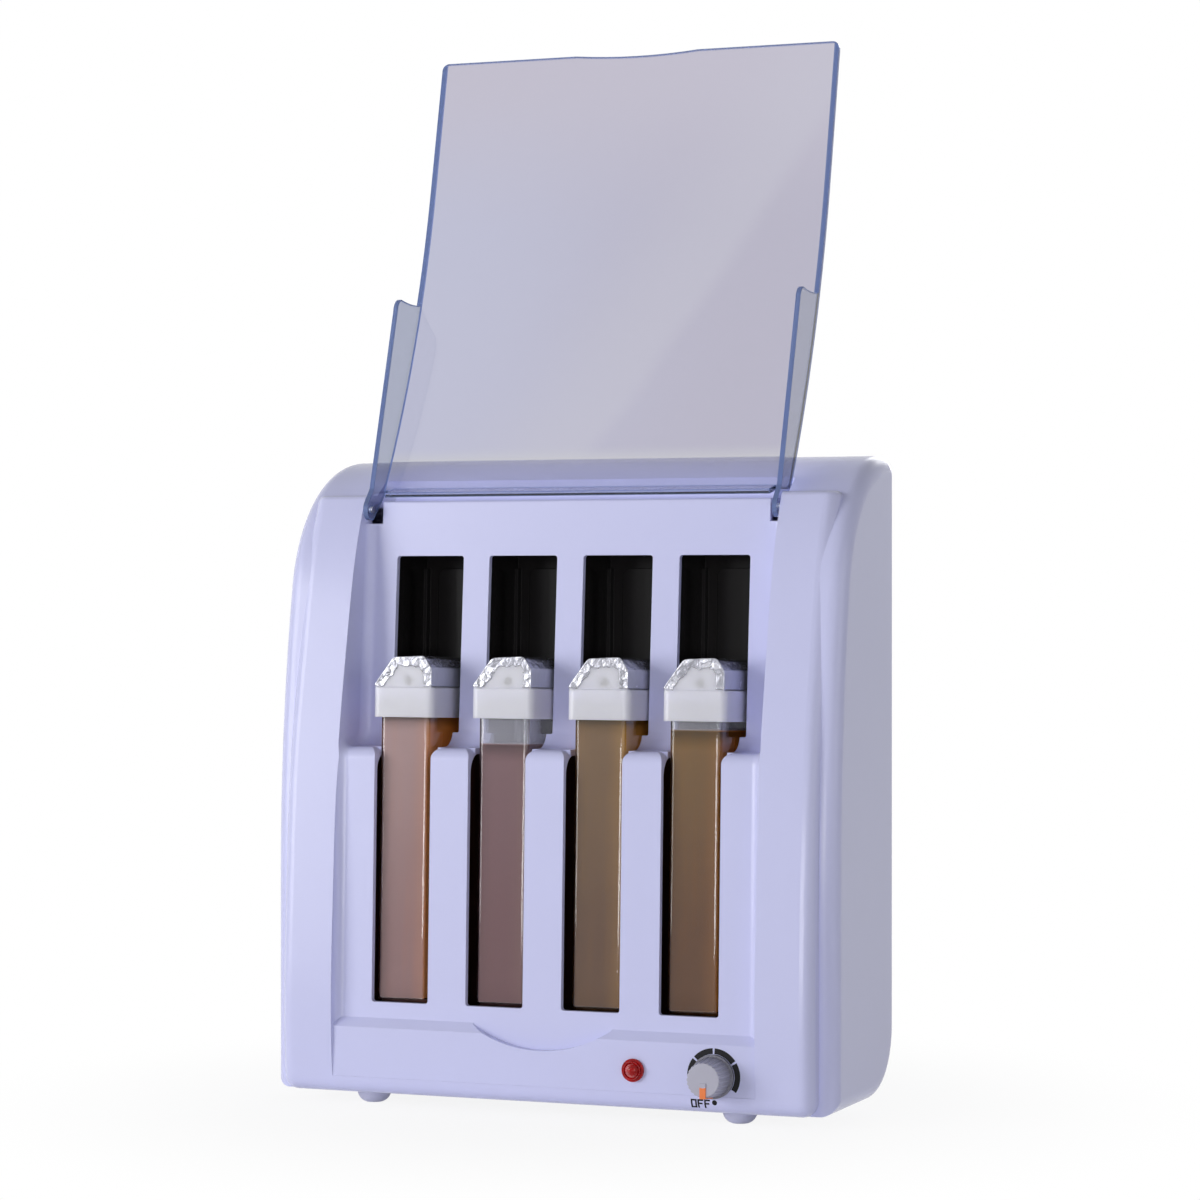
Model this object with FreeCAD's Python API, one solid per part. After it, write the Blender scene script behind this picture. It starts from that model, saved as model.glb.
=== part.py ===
"""Four-slot roll-on wax cartridge heater with a clear swing-up lid.

Millimetres. +Z is up, the front faces -Y and +X is to the right of someone
who stands in front. The origin lies on the table, midway between the front
of the knob and the back of the opened lid.
"""
import FreeCAD
import Part
import math
import os

os.makedirs("parts", exist_ok=True)
Vec = FreeCAD.Vector

# ---- housing
halfWidth = 122.5
footHeight = 5.0
wall = 2.5
frontY = 4.8
archStartZ = 95.0
archRadius = 650.0
shoulderZ = 214.0
shoulderRadius = 64.0
crownAngle = 84.0
crownRadius = 155.0
crownBackRadius = 8.0
backY = frontY + shoulderRadius + 15.7
backCornerRadius = 28.0
seamY = backY - 5.5
edgeRadius = 6.8

# ---- raised front border: height from the table, or depth below the crown, and how far it stands out
borderLifts = [(footHeight, 7.7), (36.0, 9.7), (90.0, 7.6), (140.0, 5.2), (190.0, 1.6)]
borderTopLifts = [(32.8, 1.9), (15.8, 8.6)]
borderTopRadius = 3.0
borderFootRadius = 6.0
borderHalfWidth = halfWidth - 7.0
borderEdgeRadius = 5.5
borderBackY = 0.7 * backY

# ---- recess between the borders
recessHalfWidth = halfWidth - 30.5
fasciaY = -3.5
fasciaFootZ = 12.0
ledgeZ = 32.4
ledgeRise = 3.6
lowerPanelY = 0.1
lowerPanelLean = 1.7
shelfZ = 146.8
shelfEdgeRadius = 5.0
shelfDepth = 21.8
panelFilletRadius = 8.0
upperPanelLean = 4.2
upperPanelTopDrop = 18.3
recessCornerRadius = 4.0
troughRadius = 3.0
scoopHalfWidth = 25.0
scoopDrop = 6.0

# ---- slots
slotCount = 4
slotPitch = 42.0
slotMiddleX = -0.4
upperSlotWidth = 30.4
upperSlotBottomZ = 152.4
upperSlotTopZ = 225.6
upperSlotRadius = 1.2
lowerSlotWidth = 25.2
lowerSlotBottomZ = 42.6
ribCornerRadius = 4.0

# ---- cartridges, in their own upright frame before they lean back
cartridgeLean = 2.0
bodyFrontY = 3.8
bodyBottomZ = 42.8
bodyWidth = 22.0
bodyDepth = 46.0
bodyHeight = 123.0
bodyCornerRadius = 2.2
bottleWall = 1.2
skirtBottom = bodyHeight - 6.6
skirtHeight = 12.5
skirtWidth = bodyWidth + 5.0
skirtDepth = bodyDepth + 4.0
skirtCornerRadius = 3.0
skirtWall = 1.6
headTop = skirtBottom + 25.0
cheekThickness = 2.2
rollerRadius = 8.2
rollerX = 2.4
rollerHeight = headTop - 9.8
axleRadius = 1.6
axleSkin = 0.7
foilThickness = 0.35
foilFold = 3.6
sideShift = [-1.3, 0.9, 1.0, 0.0]
waxDrop = [3.6, 17.0, 3.6, 10.2]

# ---- heating chambers
chamberWall = 1.4
chamberHalfWidth = 15.6
chamberBackGap = 6.0
chamberTop = headTop + 47.0
chamberRibDepth = 3.4
chamberPanelHalfWidth = 9.0
chamberPanelDepth = 2.8
padWidth = 22.0
padThickness = 2.2
padStrapGap = 10.0
matHalfWidth = slotCount / 2.0 * slotPitch - 4.0
matThickness = 5.0
matStrapGap = 12.0

# ---- lid, drawn closed
lidThickness = 2.0
lidHalfWidth = recessHalfWidth - 0.8
lidFootZ = ledgeZ + 3.3
lidFrontY = -4.5
lidArchZ = 95.0
lidArchRadius = 470.0
lidHeadDrop = 10.0
lidFreeRadius = 3.0
lidFlangeFootZ = shelfZ + 3.7
lidFlangeGap = 3.2
lidEndReach = 9.2
lidEndHalfWidth = lidHalfWidth - 5.9
lidNotchDepth = 1.4
lidNotchHalfWidth = 28.0
pivotY = 28.5
pivotRise = -3.5
earRadius = 4.4
hingePinRadius = 1.5
lidTurn = 192.9
lidRestGap = 0.3

# ---- knob, thermostat and lamp
knobX = recessHalfWidth - 17.4
knobZ = 20.0
knobBaseRadius = 8.7
knobFaceRadius = 6.9
knobHeight = 12.0
knobGap = 0.5
knobFlutes = 24
pointerHalfWidth = 1.25
shaftRadius = 3.0
bushRadius = 4.5
nutRadius = 6.2
nutThickness = 1.8
lampX = knobX - 33.9
lampZ = 20.8
lampRingRadius = 4.6
lampNeckRadius = 3.4
lensRadius = 3.7

# ---- clearances
fitGap = 0.3
runGap = 0.05
seatGap = 0.1
pressGap = 0.02

# ---- straps, screws and feet
strapHeights = (62.0, 168.0)
strapThickness = 1.5
strapHeight = 12.0
strapEnd = 6.0
postRadius = 3.0
screwRadius = 1.35
screwHeadRadius = 2.6
screwHeadHeight = 1.8
pilotRadius = screwRadius + runGap
screwHoleRadius = screwRadius + fitGap
strapScrewLength = 10.0
coverScrewLength = 18.0
bossInset = 11.5
bossHeights = (36.0, 138.0, 246.0)
bossRadius = 4.0
bossFrontY = 50.0
bossBackY = seamY - 3.0
coverHeadY = backY - screwHeadHeight - fitGap
tongueDepth = 4.0
tongueWall = 1.8
tongueCorner = 5.0
footX = halfWidth - 42.3
footYs = (12.0, 54.0)
footRadius = 7.0
footStemRadius = 2.4
footPlugRadius = 3.2
footPlugHeight = 2.2

# ---- hinge pins, in bores of the housing's cheeks
hingePadRadius = 5.0
pinInnerX = recessHalfWidth - 3.6
pinOuterX = recessHalfWidth + 5.8
notchInnerX = recessHalfWidth - 6.2

# ---- mains parts
thermostatHalfWidth = 12.0
thermostatHalfHeight = 8.4
thermostatBackY = 14.0
thermostatTabX = 6.0
thermostatTabLength = 7.0
shaftDepth = 6.0
terminalX = -8.0
terminalY = 48.0
terminalHalfWidth = 16.0
terminalHalfDepth = 6.0
terminalHeight = 12.0
terminalPitch = 10.5
terminalHoleZ = 4.5
fuseRadius = 2.0
fuseLength = 12.0
fuseLeadLength = 8.0
leadRadius = 1.1
inletX = -90.0
inletZ = 48.0
inletFlange = (32.0, 18.0, 1.8)
inletBody = (24.0, 13.0, 20.0)
inletPinSpacing = 8.6
inletPinRadius = 1.2
inletPinTail = 4.0
socketRadius = 4.5
socketDepth = 13.0
ventCount = 9
ventPitch = 11.0
ventSize = (4.0, 30.0)
ventHeights = (75.0, 205.0)

slotCentres = [slotMiddleX + (n - (slotCount - 1) / 2.0) * slotPitch for n in range(slotCount)]
waxLevels = [bodyHeight - drop for drop in waxDrop]
floorZ = footHeight + wall


# ================================================================ helpers
def box(x0, x1, y0, y1, z0, z1):
    return Part.makeBox(x1 - x0, y1 - y0, z1 - z0, Vec(x0, y0, z0))


def rod(radius, start, direction, length):
    return Part.makeCylinder(radius, length, Vec(*start), Vec(*direction))


def roundedLoop(points, radii):
    """A closed flat outline with each corner rounded by its own radius."""
    count = len(points)
    starts, ends, middles = [], [], []
    for i in range(count):
        here = points[i]
        before = (points[i - 1] - here).normalize()
        after = (points[(i + 1) % count] - here).normalize()
        if radii[i] <= 0:
            starts.append(here)
            ends.append(here)
            middles.append(None)
            continue
        half = math.acos(max(-1.0, min(1.0, before.dot(after)))) / 2.0
        reach = radii[i] / math.tan(half)
        bisector = (before + after).normalize()
        centre = here + bisector * (radii[i] / math.sin(half))
        starts.append(here + before * reach)
        ends.append(here + after * reach)
        middles.append(centre - bisector * radii[i])
    edges = []
    for i in range(count):
        if middles[i] is not None:
            edges.append(Part.Arc(starts[i], middles[i], ends[i]).toShape())
        follow = starts[(i + 1) % count]
        if ends[i].distanceToPoint(follow) > 1e-6:
            edges.append(Part.LineSegment(ends[i], follow).toShape())
    return Part.Wire(edges)


def alongX(wire, x0, x1):
    """Extrude a YZ outline from x0 to x1."""
    moved = wire.copy()
    moved.translate(Vec(x0, 0, 0))
    return Part.Face(moved).extrude(Vec(x1 - x0, 0, 0))


def yz(pairs):
    return [Vec(0, y, z) for y, z in pairs]


def roundedBox(x0, x1, y0, y1, z0, z1, radius):
    """A box whose upright edges are rounded."""
    corners = [Vec(x0, y0, z0), Vec(x1, y0, z0), Vec(x1, y1, z0), Vec(x0, y1, z0)]
    return Part.Face(roundedLoop(corners, [radius] * 4)).extrude(Vec(0, 0, z1 - z0))


def fuse(first, *others):
    return first.multiFuse(list(others)).removeSplitter()


def oneSolid(shape):
    solids = shape.Solids
    assert len(solids) == 1, "expected one solid, found %d" % len(solids)
    return solids[0]


def mirrorX(shape):
    return shape.mirror(Vec(0, 0, 0), Vec(1, 0, 0))


def bothSides(shape):
    return [shape, mirrorX(shape)]


def cutCorners(block, size):
    """Chamfer the four edges of a box that run from front to back."""
    across = [e for e in block.Edges if e.BoundBox.XLength + e.BoundBox.ZLength < 1e-3]
    return block.makeChamfer(size, across)


def endEdges(shape, x):
    """Edges that lie flat against either end, at -x or at x."""
    return [e for e in shape.Edges
            if e.BoundBox.XLength < 1e-3 and abs(abs(e.CenterOfMass.x) - x) < 1e-3]


def polar(centre, radius, degrees):
    """A point of a circle in YZ, with 0 degrees at its front and 90 at its top."""
    turn = math.radians(degrees)
    return Vec(0, centre[0] - radius * math.cos(turn), centre[1] + radius * math.sin(turn))


def arcEdge(centre, radius, start, end):
    middle = (start + end) / 2.0
    return Part.Arc(polar(centre, radius, start), polar(centre, radius, middle),
                    polar(centre, radius, end)).toShape()


def lineEdge(a, b):
    return Part.LineSegment(a, b).toShape()


# ================================================================ housing outline
archTurn = math.degrees(math.asin((shoulderZ - archStartZ) / archRadius))
archCentre = (frontY + archRadius, archStartZ)


def centreBefore(centre, radius, nextRadius, degrees):
    """Centre of the next arc of a smooth chain of arcs."""
    turn = math.radians(degrees)
    step = radius - nextRadius
    return (centre[0] - step * math.cos(turn), centre[1] + step * math.sin(turn))


shoulderCentre = centreBefore(archCentre, archRadius, shoulderRadius, archTurn)
crownCentre = centreBefore(shoulderCentre, shoulderRadius, crownRadius, crownAngle)
crownTopZ = crownCentre[1] + crownRadius
upperPanelTopZ = crownTopZ - upperPanelTopDrop
pivotZ = upperPanelTopZ + pivotRise
lidHeadZ = pivotZ - lidHeadDrop


def housingFrontAt(z):
    """How far back the front of the housing lies at a height."""
    if z < archStartZ:
        return frontY
    centre, radius = (archCentre, archRadius) if z < shoulderZ else (shoulderCentre, shoulderRadius)
    return centre[0] - math.sqrt(radius ** 2 - (z - centre[1]) ** 2)


def housingOutline(inset, floor, back):
    """Side view of the housing: upright front, leaning arch, shoulder, crown and back."""
    topRadius = crownBackRadius - inset
    topReach = crownRadius - crownBackRadius
    topY = back - topRadius
    topCentre = (topY, crownCentre[1] + math.sqrt(topReach ** 2 - (crownCentre[0] - topY) ** 2))
    backTurn = math.degrees(math.acos((crownCentre[0] - topY) / topReach))
    frontFoot = Vec(0, frontY + inset, floor)
    radius = backCornerRadius - (backY - back)
    cornerCentre = Vec(0, back - radius, floor + radius)
    slant = radius * math.sqrt(0.5)
    return Part.Wire([
        lineEdge(frontFoot, polar(archCentre, archRadius - inset, 0)),
        arcEdge(archCentre, archRadius - inset, 0, archTurn),
        arcEdge(shoulderCentre, shoulderRadius - inset, archTurn, crownAngle),
        arcEdge(crownCentre, crownRadius - inset, crownAngle, backTurn),
        arcEdge(topCentre, topRadius, backTurn, 180.0),
        lineEdge(Vec(0, back, topCentre[1]), Vec(0, back, floor + radius)),
        Part.Arc(Vec(0, back, floor + radius), cornerCentre + Vec(0, slant, -slant),
                 Vec(0, back - radius, floor)).toShape(),
        lineEdge(Vec(0, back - radius, floor), frontFoot)])


borderLine = [(housingFrontAt(z) - lift, z) for z, lift in
              borderLifts + [(crownTopZ - drop, lift) for drop, lift in borderTopLifts]]


def borderBlock(inset):
    """The raised border before the recess is cut, pulled in by a wall where inset is given."""
    points = [Vec(0, y + inset, z) for y, z in borderLine]
    foot, head = points[0], points[-1]
    curve = Part.BSplineCurve()
    curve.interpolate(points)
    innerHead, innerFoot = Vec(0, borderBackY, head.z), Vec(0, borderBackY, foot.z)
    outline = Part.Wire([curve.toShape(), lineEdge(head, innerHead), lineEdge(innerHead, innerFoot),
                         lineEdge(innerFoot, foot)])
    side = borderHalfWidth - inset
    block = alongX(outline, -side, side)
    return block.common(box(-side, side, foot.y - 50, backY, foot.z + inset, head.z - inset))


def edgesAtHeight(shape, z):
    """Edges that lie level at a height, apart from the one along the back."""
    return [e for e in shape.Edges if e.BoundBox.ZLength < 1e-3 and abs(e.CenterOfMass.z - z) < 1e-3
            and e.BoundBox.YMin < borderBackY - 1.0]


# ---- the lid's outer face when open, which sets where the rim stops it
lidSin = math.sin(math.radians(lidTurn))
lidCos = math.cos(math.radians(lidTurn))


def opened(y, z):
    """Where a point of the closed lid lies once the lid is open."""
    dy, dz = y - pivotY, z - pivotZ
    return (pivotY + dy * lidCos + dz * lidSin, pivotZ - dy * lidSin + dz * lidCos)


openCentre = opened(lidFrontY + lidArchRadius, lidArchZ)


def circlesMeet(first, firstRadius, second, secondRadius):
    """The point, on the left of the way from the first centre to the second, where circles cross."""
    dy, dz = second[0] - first[0], second[1] - first[1]
    apart = math.hypot(dy, dz)
    along = (firstRadius ** 2 - secondRadius ** 2 + apart ** 2) / (2.0 * apart)
    aside = math.sqrt(firstRadius ** 2 - along ** 2)
    return (first[0] + (along * dy - aside * dz) / apart, first[1] + (along * dz + aside * dy) / apart)


rimY = circlesMeet(openCentre, lidArchRadius + lidRestGap, shoulderCentre, shoulderRadius)[0]


def lowerPanelAt(z):
    return lowerPanelY + (z - ledgeZ) * math.tan(math.radians(lowerPanelLean))


def upperPanelAt(z):
    return lowerPanelAt(shelfZ) + shelfDepth + (z - shelfZ) * math.tan(math.radians(upperPanelLean))


def recessOutline(offset):
    """Side view of the space in front of the panels, grown by an offset into them."""
    frontY, headZ = -60.0, 320.0
    points = [(frontY, fasciaFootZ - 8.0 * (offset > 0)),
              (fasciaY + offset, fasciaFootZ - 8.0 * (offset > 0)),
              (fasciaY + offset, ledgeZ - offset * 0.4),
              (lowerPanelY + offset, ledgeZ + ledgeRise - offset * 0.4),
              (lowerPanelAt(shelfZ) + offset, shelfZ - offset),
              (upperPanelAt(shelfZ) + offset, shelfZ - offset),
              (upperPanelAt(upperPanelTopZ) + offset, upperPanelTopZ - offset),
              (rimY + offset, upperPanelTopZ - offset),
              (rimY + offset, headZ),
              (frontY, headZ)]
    radii = [0, 0, 0, 0, shelfEdgeRadius + offset, panelFilletRadius - offset, 1.0 + offset,
             troughRadius - min(offset, 2.6), 0, 0]
    return roundedLoop(yz(points), radii)


# ================================================================ front shell and rear cover
def buildOuter():
    """Rounded body with the raised border on its front."""
    body = alongX(housingOutline(0, footHeight, backY), -halfWidth, halfWidth)
    body = body.makeFillet(edgeRadius, endEdges(body, halfWidth))
    border = borderBlock(0)
    uprights = [e for e in endEdges(border, borderHalfWidth)
                if e.BoundBox.ZLength > 1.0 and e.BoundBox.YMax < borderBackY - 1.0]
    border = border.makeFillet(borderEdgeRadius, uprights)
    border = border.makeFillet(borderTopRadius, edgesAtHeight(border, borderLine[-1][1]))
    border = border.makeFillet(borderFootRadius, edgesAtHeight(border, footHeight))
    return oneSolid(fuse(body, border))


def buildCavity():
    """The hollow of the housing, before the panels' thickness is given back to it."""
    side = halfWidth - wall
    main = alongX(housingOutline(wall, floorZ, backY - wall), -side, side)
    main = main.makeChamfer(0.44 * edgeRadius, endEdges(main, side))
    return fuse(main, borderBlock(wall))


def slotCutter(centre):
    """A wide mouth above the shelf that narrows to the width of a cartridge body below it."""
    wide, narrow = upperSlotWidth / 2.0, lowerSlotWidth / 2.0
    top, bottom = upperSlotTopZ, upperSlotBottomZ
    upper = roundedLoop([Vec(centre - wide, 0, bottom), Vec(centre + wide, 0, bottom),
                         Vec(centre + wide, 0, top), Vec(centre - wide, 0, top)],
                        [0.6, 0.6, upperSlotRadius, upperSlotRadius])
    lower = roundedLoop([Vec(centre - narrow, 0, lowerSlotBottomZ),
                         Vec(centre + narrow, 0, lowerSlotBottomZ),
                         Vec(centre + narrow, 0, bottom + 1), Vec(centre - narrow, 0, bottom + 1)],
                        [upperSlotRadius, upperSlotRadius, 0, 0])
    reach = Vec(0, 60, 0)
    cut = fuse(Part.Face(upper).extrude(reach), Part.Face(lower).extrude(reach))
    cut.translate(Vec(0, -20, 0))
    flare = box(centre - narrow - ribCornerRadius, centre + narrow + ribCornerRadius,
                -20, lowerPanelAt(shelfZ) + shelfEdgeRadius + 2.0, shelfZ - ribCornerRadius, shelfZ + 1)
    for side in (-1, 1):
        flare = flare.cut(rod(ribCornerRadius,
                              (centre + side * (narrow + ribCornerRadius), -20, shelfZ - ribCornerRadius),
                              (0, 1, 0), 60))
    return cut.fuse(flare)


def scoopCutter(offset):
    """The finger dip in the ledge, grown by an offset into the housing."""
    radius = (scoopHalfWidth ** 2 + scoopDrop ** 2) / (2.0 * scoopDrop)
    dip = rod(radius + offset, (0, -20, ledgeZ + radius - scoopDrop), (0, 1, 0),
              20 + lowerPanelY + offset)
    reach = scoopHalfWidth + 5 + offset
    return dip.common(box(-reach, reach, -20, 20, ledgeZ - scoopDrop - 1 - offset, ledgeZ + ledgeRise))


def buildRecess():
    block = alongX(recessOutline(0), -recessHalfWidth, recessHalfWidth)
    corners = [e for e in endEdges(block, recessHalfWidth)
               if e.BoundBox.YMin > lowerPanelY - 0.5 and e.BoundBox.ZMin > ledgeZ + ledgeRise - 0.5
               and e.BoundBox.ZMax < upperPanelTopZ - 0.5]
    block = block.makeFillet(recessCornerRadius, corners)
    return block.fuse(scoopCutter(0))


bossSpots = [(x, z) for x in (bossInset - halfWidth, halfWidth - bossInset) for z in bossHeights]
footSpots = [(x, y) for x in (-footX, footX) for y in footYs]
chamberBackV = bodyDepth + chamberBackGap + chamberWall
postXs = (-slotCount / 2.0 * slotPitch, 0.0, slotCount / 2.0 * slotPitch)
postSpots = [(x, z) for x in postXs for z in strapHeights]


def strapYAt(z):
    """Front face of the strap whose middle is at z, just behind the leaning chambers."""
    lean = math.radians(cartridgeLean)
    rise = z + strapHeight / 2.0 - bodyBottomZ
    return bodyFrontY + chamberBackV / math.cos(lean) + rise * math.tan(lean) + fitGap


def buildHousing():
    """Return the front shell and the rear cover, split at the seam."""
    outer = buildOuter()
    recess = buildRecess()
    panels = alongX(recessOutline(wall), -recessHalfWidth - wall, recessHalfWidth + wall)
    hollow = buildCavity().cut(panels.fuse(scoopCutter(wall)))
    housing = outer.cut(recess).cut(hollow)
    big = 400.0
    front = housing.common(box(-big, big, -big, seamY, -big, big))
    back = housing.common(box(-big, big, seamY, big, -big, big))
    front = max(front.Solids, key=lambda solid: solid.Volume)
    back = max(back.Solids, key=lambda solid: solid.Volume)

    posts = []
    for x, z in postSpots:
        root = (lowerPanelAt(z) if z < shelfZ else upperPanelAt(z)) + wall / 2.0
        posts.append(rod(postRadius, (x, root, z), (0, 1, 0), strapYAt(z) - root))
    for x, z in bossSpots:
        side = math.copysign(1, x)
        inside = halfWidth - wall / 2.0
        posts.append(rod(bossRadius, (x, bossFrontY, z), (0, 1, 0), bossBackY - bossFrontY))
        web = sorted((x + side * bossRadius * 0.5, side * inside))
        posts.append(box(web[0], web[1], bossFrontY, seamY - tongueDepth - fitGap, z - 1.0, z + 1.0))
    for side in (-1, 1):
        pad = rod(hingePadRadius, (side * (recessHalfWidth + wall / 2.0), pivotY, pivotZ), (side, 0, 0),
                  pinOuterX + 2.0 - recessHalfWidth - wall / 2.0)
        posts.append(pad.common(outer))
    front = fuse(front, *posts)

    cuts = [slotCutter(centre) for centre in slotCentres]
    for x, z in postSpots:
        cuts.append(rod(pilotRadius, (x, strapYAt(z) - strapScrewLength, z), (0, 1, 0), 40.0))
    for x, z in bossSpots:
        cuts.append(rod(pilotRadius, (x, backY - coverScrewLength - 4.0, z), (0, 1, 0), 40.0))
    for x, y in footSpots:
        cuts.append(rod(footStemRadius + runGap, (x, y, footHeight - 1), (0, 0, 1), wall + 2))
    for side in (-1, 1):
        cuts.append(rod(hingePinRadius + pressGap, (side * pinInnerX, pivotY, pivotZ), (side, 0, 0),
                        pinOuterX + fitGap - pinInnerX))
        xs = sorted((side * notchInnerX, side * recessHalfWidth))
        cuts.append(box(xs[0], xs[1], pivotY - 12, rimY + fitGap,
                        pivotZ - earRadius - 1.4, pivotZ + 20))
    cuts.append(rod(bushRadius + 0.2, (knobX, fasciaY - 5, knobZ), (0, 1, 0), 12))
    cuts.append(rod(lampNeckRadius + 0.2, (lampX, fasciaY - 5, lampZ), (0, 1, 0), 12))
    front = front.cut(Part.makeCompound(cuts))
    front = max(front.Solids, key=lambda solid: solid.Volume)

    tongueX = halfWidth - wall - fitGap
    tongueFootZ = footHeight + backCornerRadius - 8.5
    tongueHeadZ = crownTopZ - wall - 1.2
    tongue = cutCorners(box(-tongueX, tongueX, seamY - tongueDepth, backY - wall,
                            tongueFootZ, tongueHeadZ), tongueCorner)
    tongue = tongue.cut(cutCorners(box(tongueWall - tongueX, tongueX - tongueWall, 0, backY,
                                       tongueFootZ + tongueWall, tongueHeadZ - tongueWall), tongueCorner))
    coverBosses = []
    cuts = []
    for x, z in bossSpots:
        start = bossBackY + seatGap
        coverBosses.append(rod(bossRadius, (x, start, z), (0, 1, 0), backY - 1.0 - start))
        cuts.append(rod(screwHoleRadius, (x, 0, z), (0, 1, 0), backY + 1))
        cuts.append(rod(screwHeadRadius + fitGap, (x, coverHeadY - seatGap, z), (0, 1, 0), 10))
    back = fuse(back, tongue, *coverBosses)
    halfX, halfZ = inletBody[0] / 2.0 + fitGap, inletBody[1] / 2.0 + fitGap
    cuts.append(box(inletX - halfX, inletX + halfX, seamY, backY + 5, inletZ - halfZ, inletZ + halfZ))
    for n in range(ventCount):
        x = (n - (ventCount - 1) / 2.0) * ventPitch
        for z in ventHeights:
            cuts.append(roundedBox(x - ventSize[0] / 2.0, x + ventSize[0] / 2.0, z, z + ventSize[1],
                                   -backY - 5, -seamY, 1.5)
                        .rotated(Vec(0, 0, 0), Vec(1, 0, 0), 90))
    back = back.cut(Part.makeCompound(cuts))
    return front, oneSolid(back)


# ================================================================ small fittings
def hexNut(acrossCorners, thickness, bore, at):
    """A nut around an axis along Y, with its front face at the given place."""
    x, y, z = at
    corners = [Vec(x + acrossCorners * math.cos(math.radians(60 * n)), y,
                   z + acrossCorners * math.sin(math.radians(60 * n))) for n in range(6)]
    nut = Part.Face(Part.makePolygon(corners + corners[:1])).extrude(Vec(0, thickness, 0))
    return nut.cut(rod(bore, (x, y - 1, z), (0, 1, 0), thickness + 2))


def screw(x, headY, z, length):
    """A pan head screw with a cross recess that runs forward from under its head."""
    topY = headY + screwHeadHeight
    head = rod(screwHeadRadius, (x, headY, z), (0, 1, 0), screwHeadHeight)
    rim = [e for e in head.Edges if abs(e.CenterOfMass.y - topY) < 1e-6 and len(e.Vertexes) == 1]
    head = head.makeFillet(0.7, rim)
    shank = rod(screwRadius, (x, headY - length, z), (0, 1, 0), length)
    reach, slot = 0.6 * screwHeadRadius, 0.14 * screwHeadRadius
    drive = box(x - slot, x + slot, topY - 0.9, topY + 1, z - reach, z + reach)
    cross = box(x - reach, x + reach, topY - 0.9, topY + 1, z - slot, z + slot)
    return fuse(head, shank).cut(drive).cut(cross)


def buildFeet():
    feet = []
    for x, y in footSpots:
        flat = footRadius / 2.0
        plugZ = floorZ + seatGap
        rim, base = Vec(footRadius, 0, footHeight), Vec(flat, 0, 0)
        corners = [rim, Vec(footStemRadius, 0, footHeight), Vec(footStemRadius, 0, plugZ),
                   Vec(footPlugRadius, 0, plugZ), Vec(footPlugRadius / 2.0, 0, plugZ + footPlugHeight),
                   Vec(0, 0, plugZ + footPlugHeight), Vec(0, 0, 0), base]
        outline = [lineEdge(a, b) for a, b in zip(corners, corners[1:])]
        outline.append(Part.Arc(base, Vec(footRadius * 0.86, 0, footHeight * 0.36), rim).toShape())
        foot = Part.Face(Part.Wire(outline)).revolve(Vec(0, 0, 0), Vec(0, 0, 1), 360)
        foot.translate(Vec(x, y, 0))
        feet.append(foot)
    return Part.makeCompound(feet)


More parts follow.
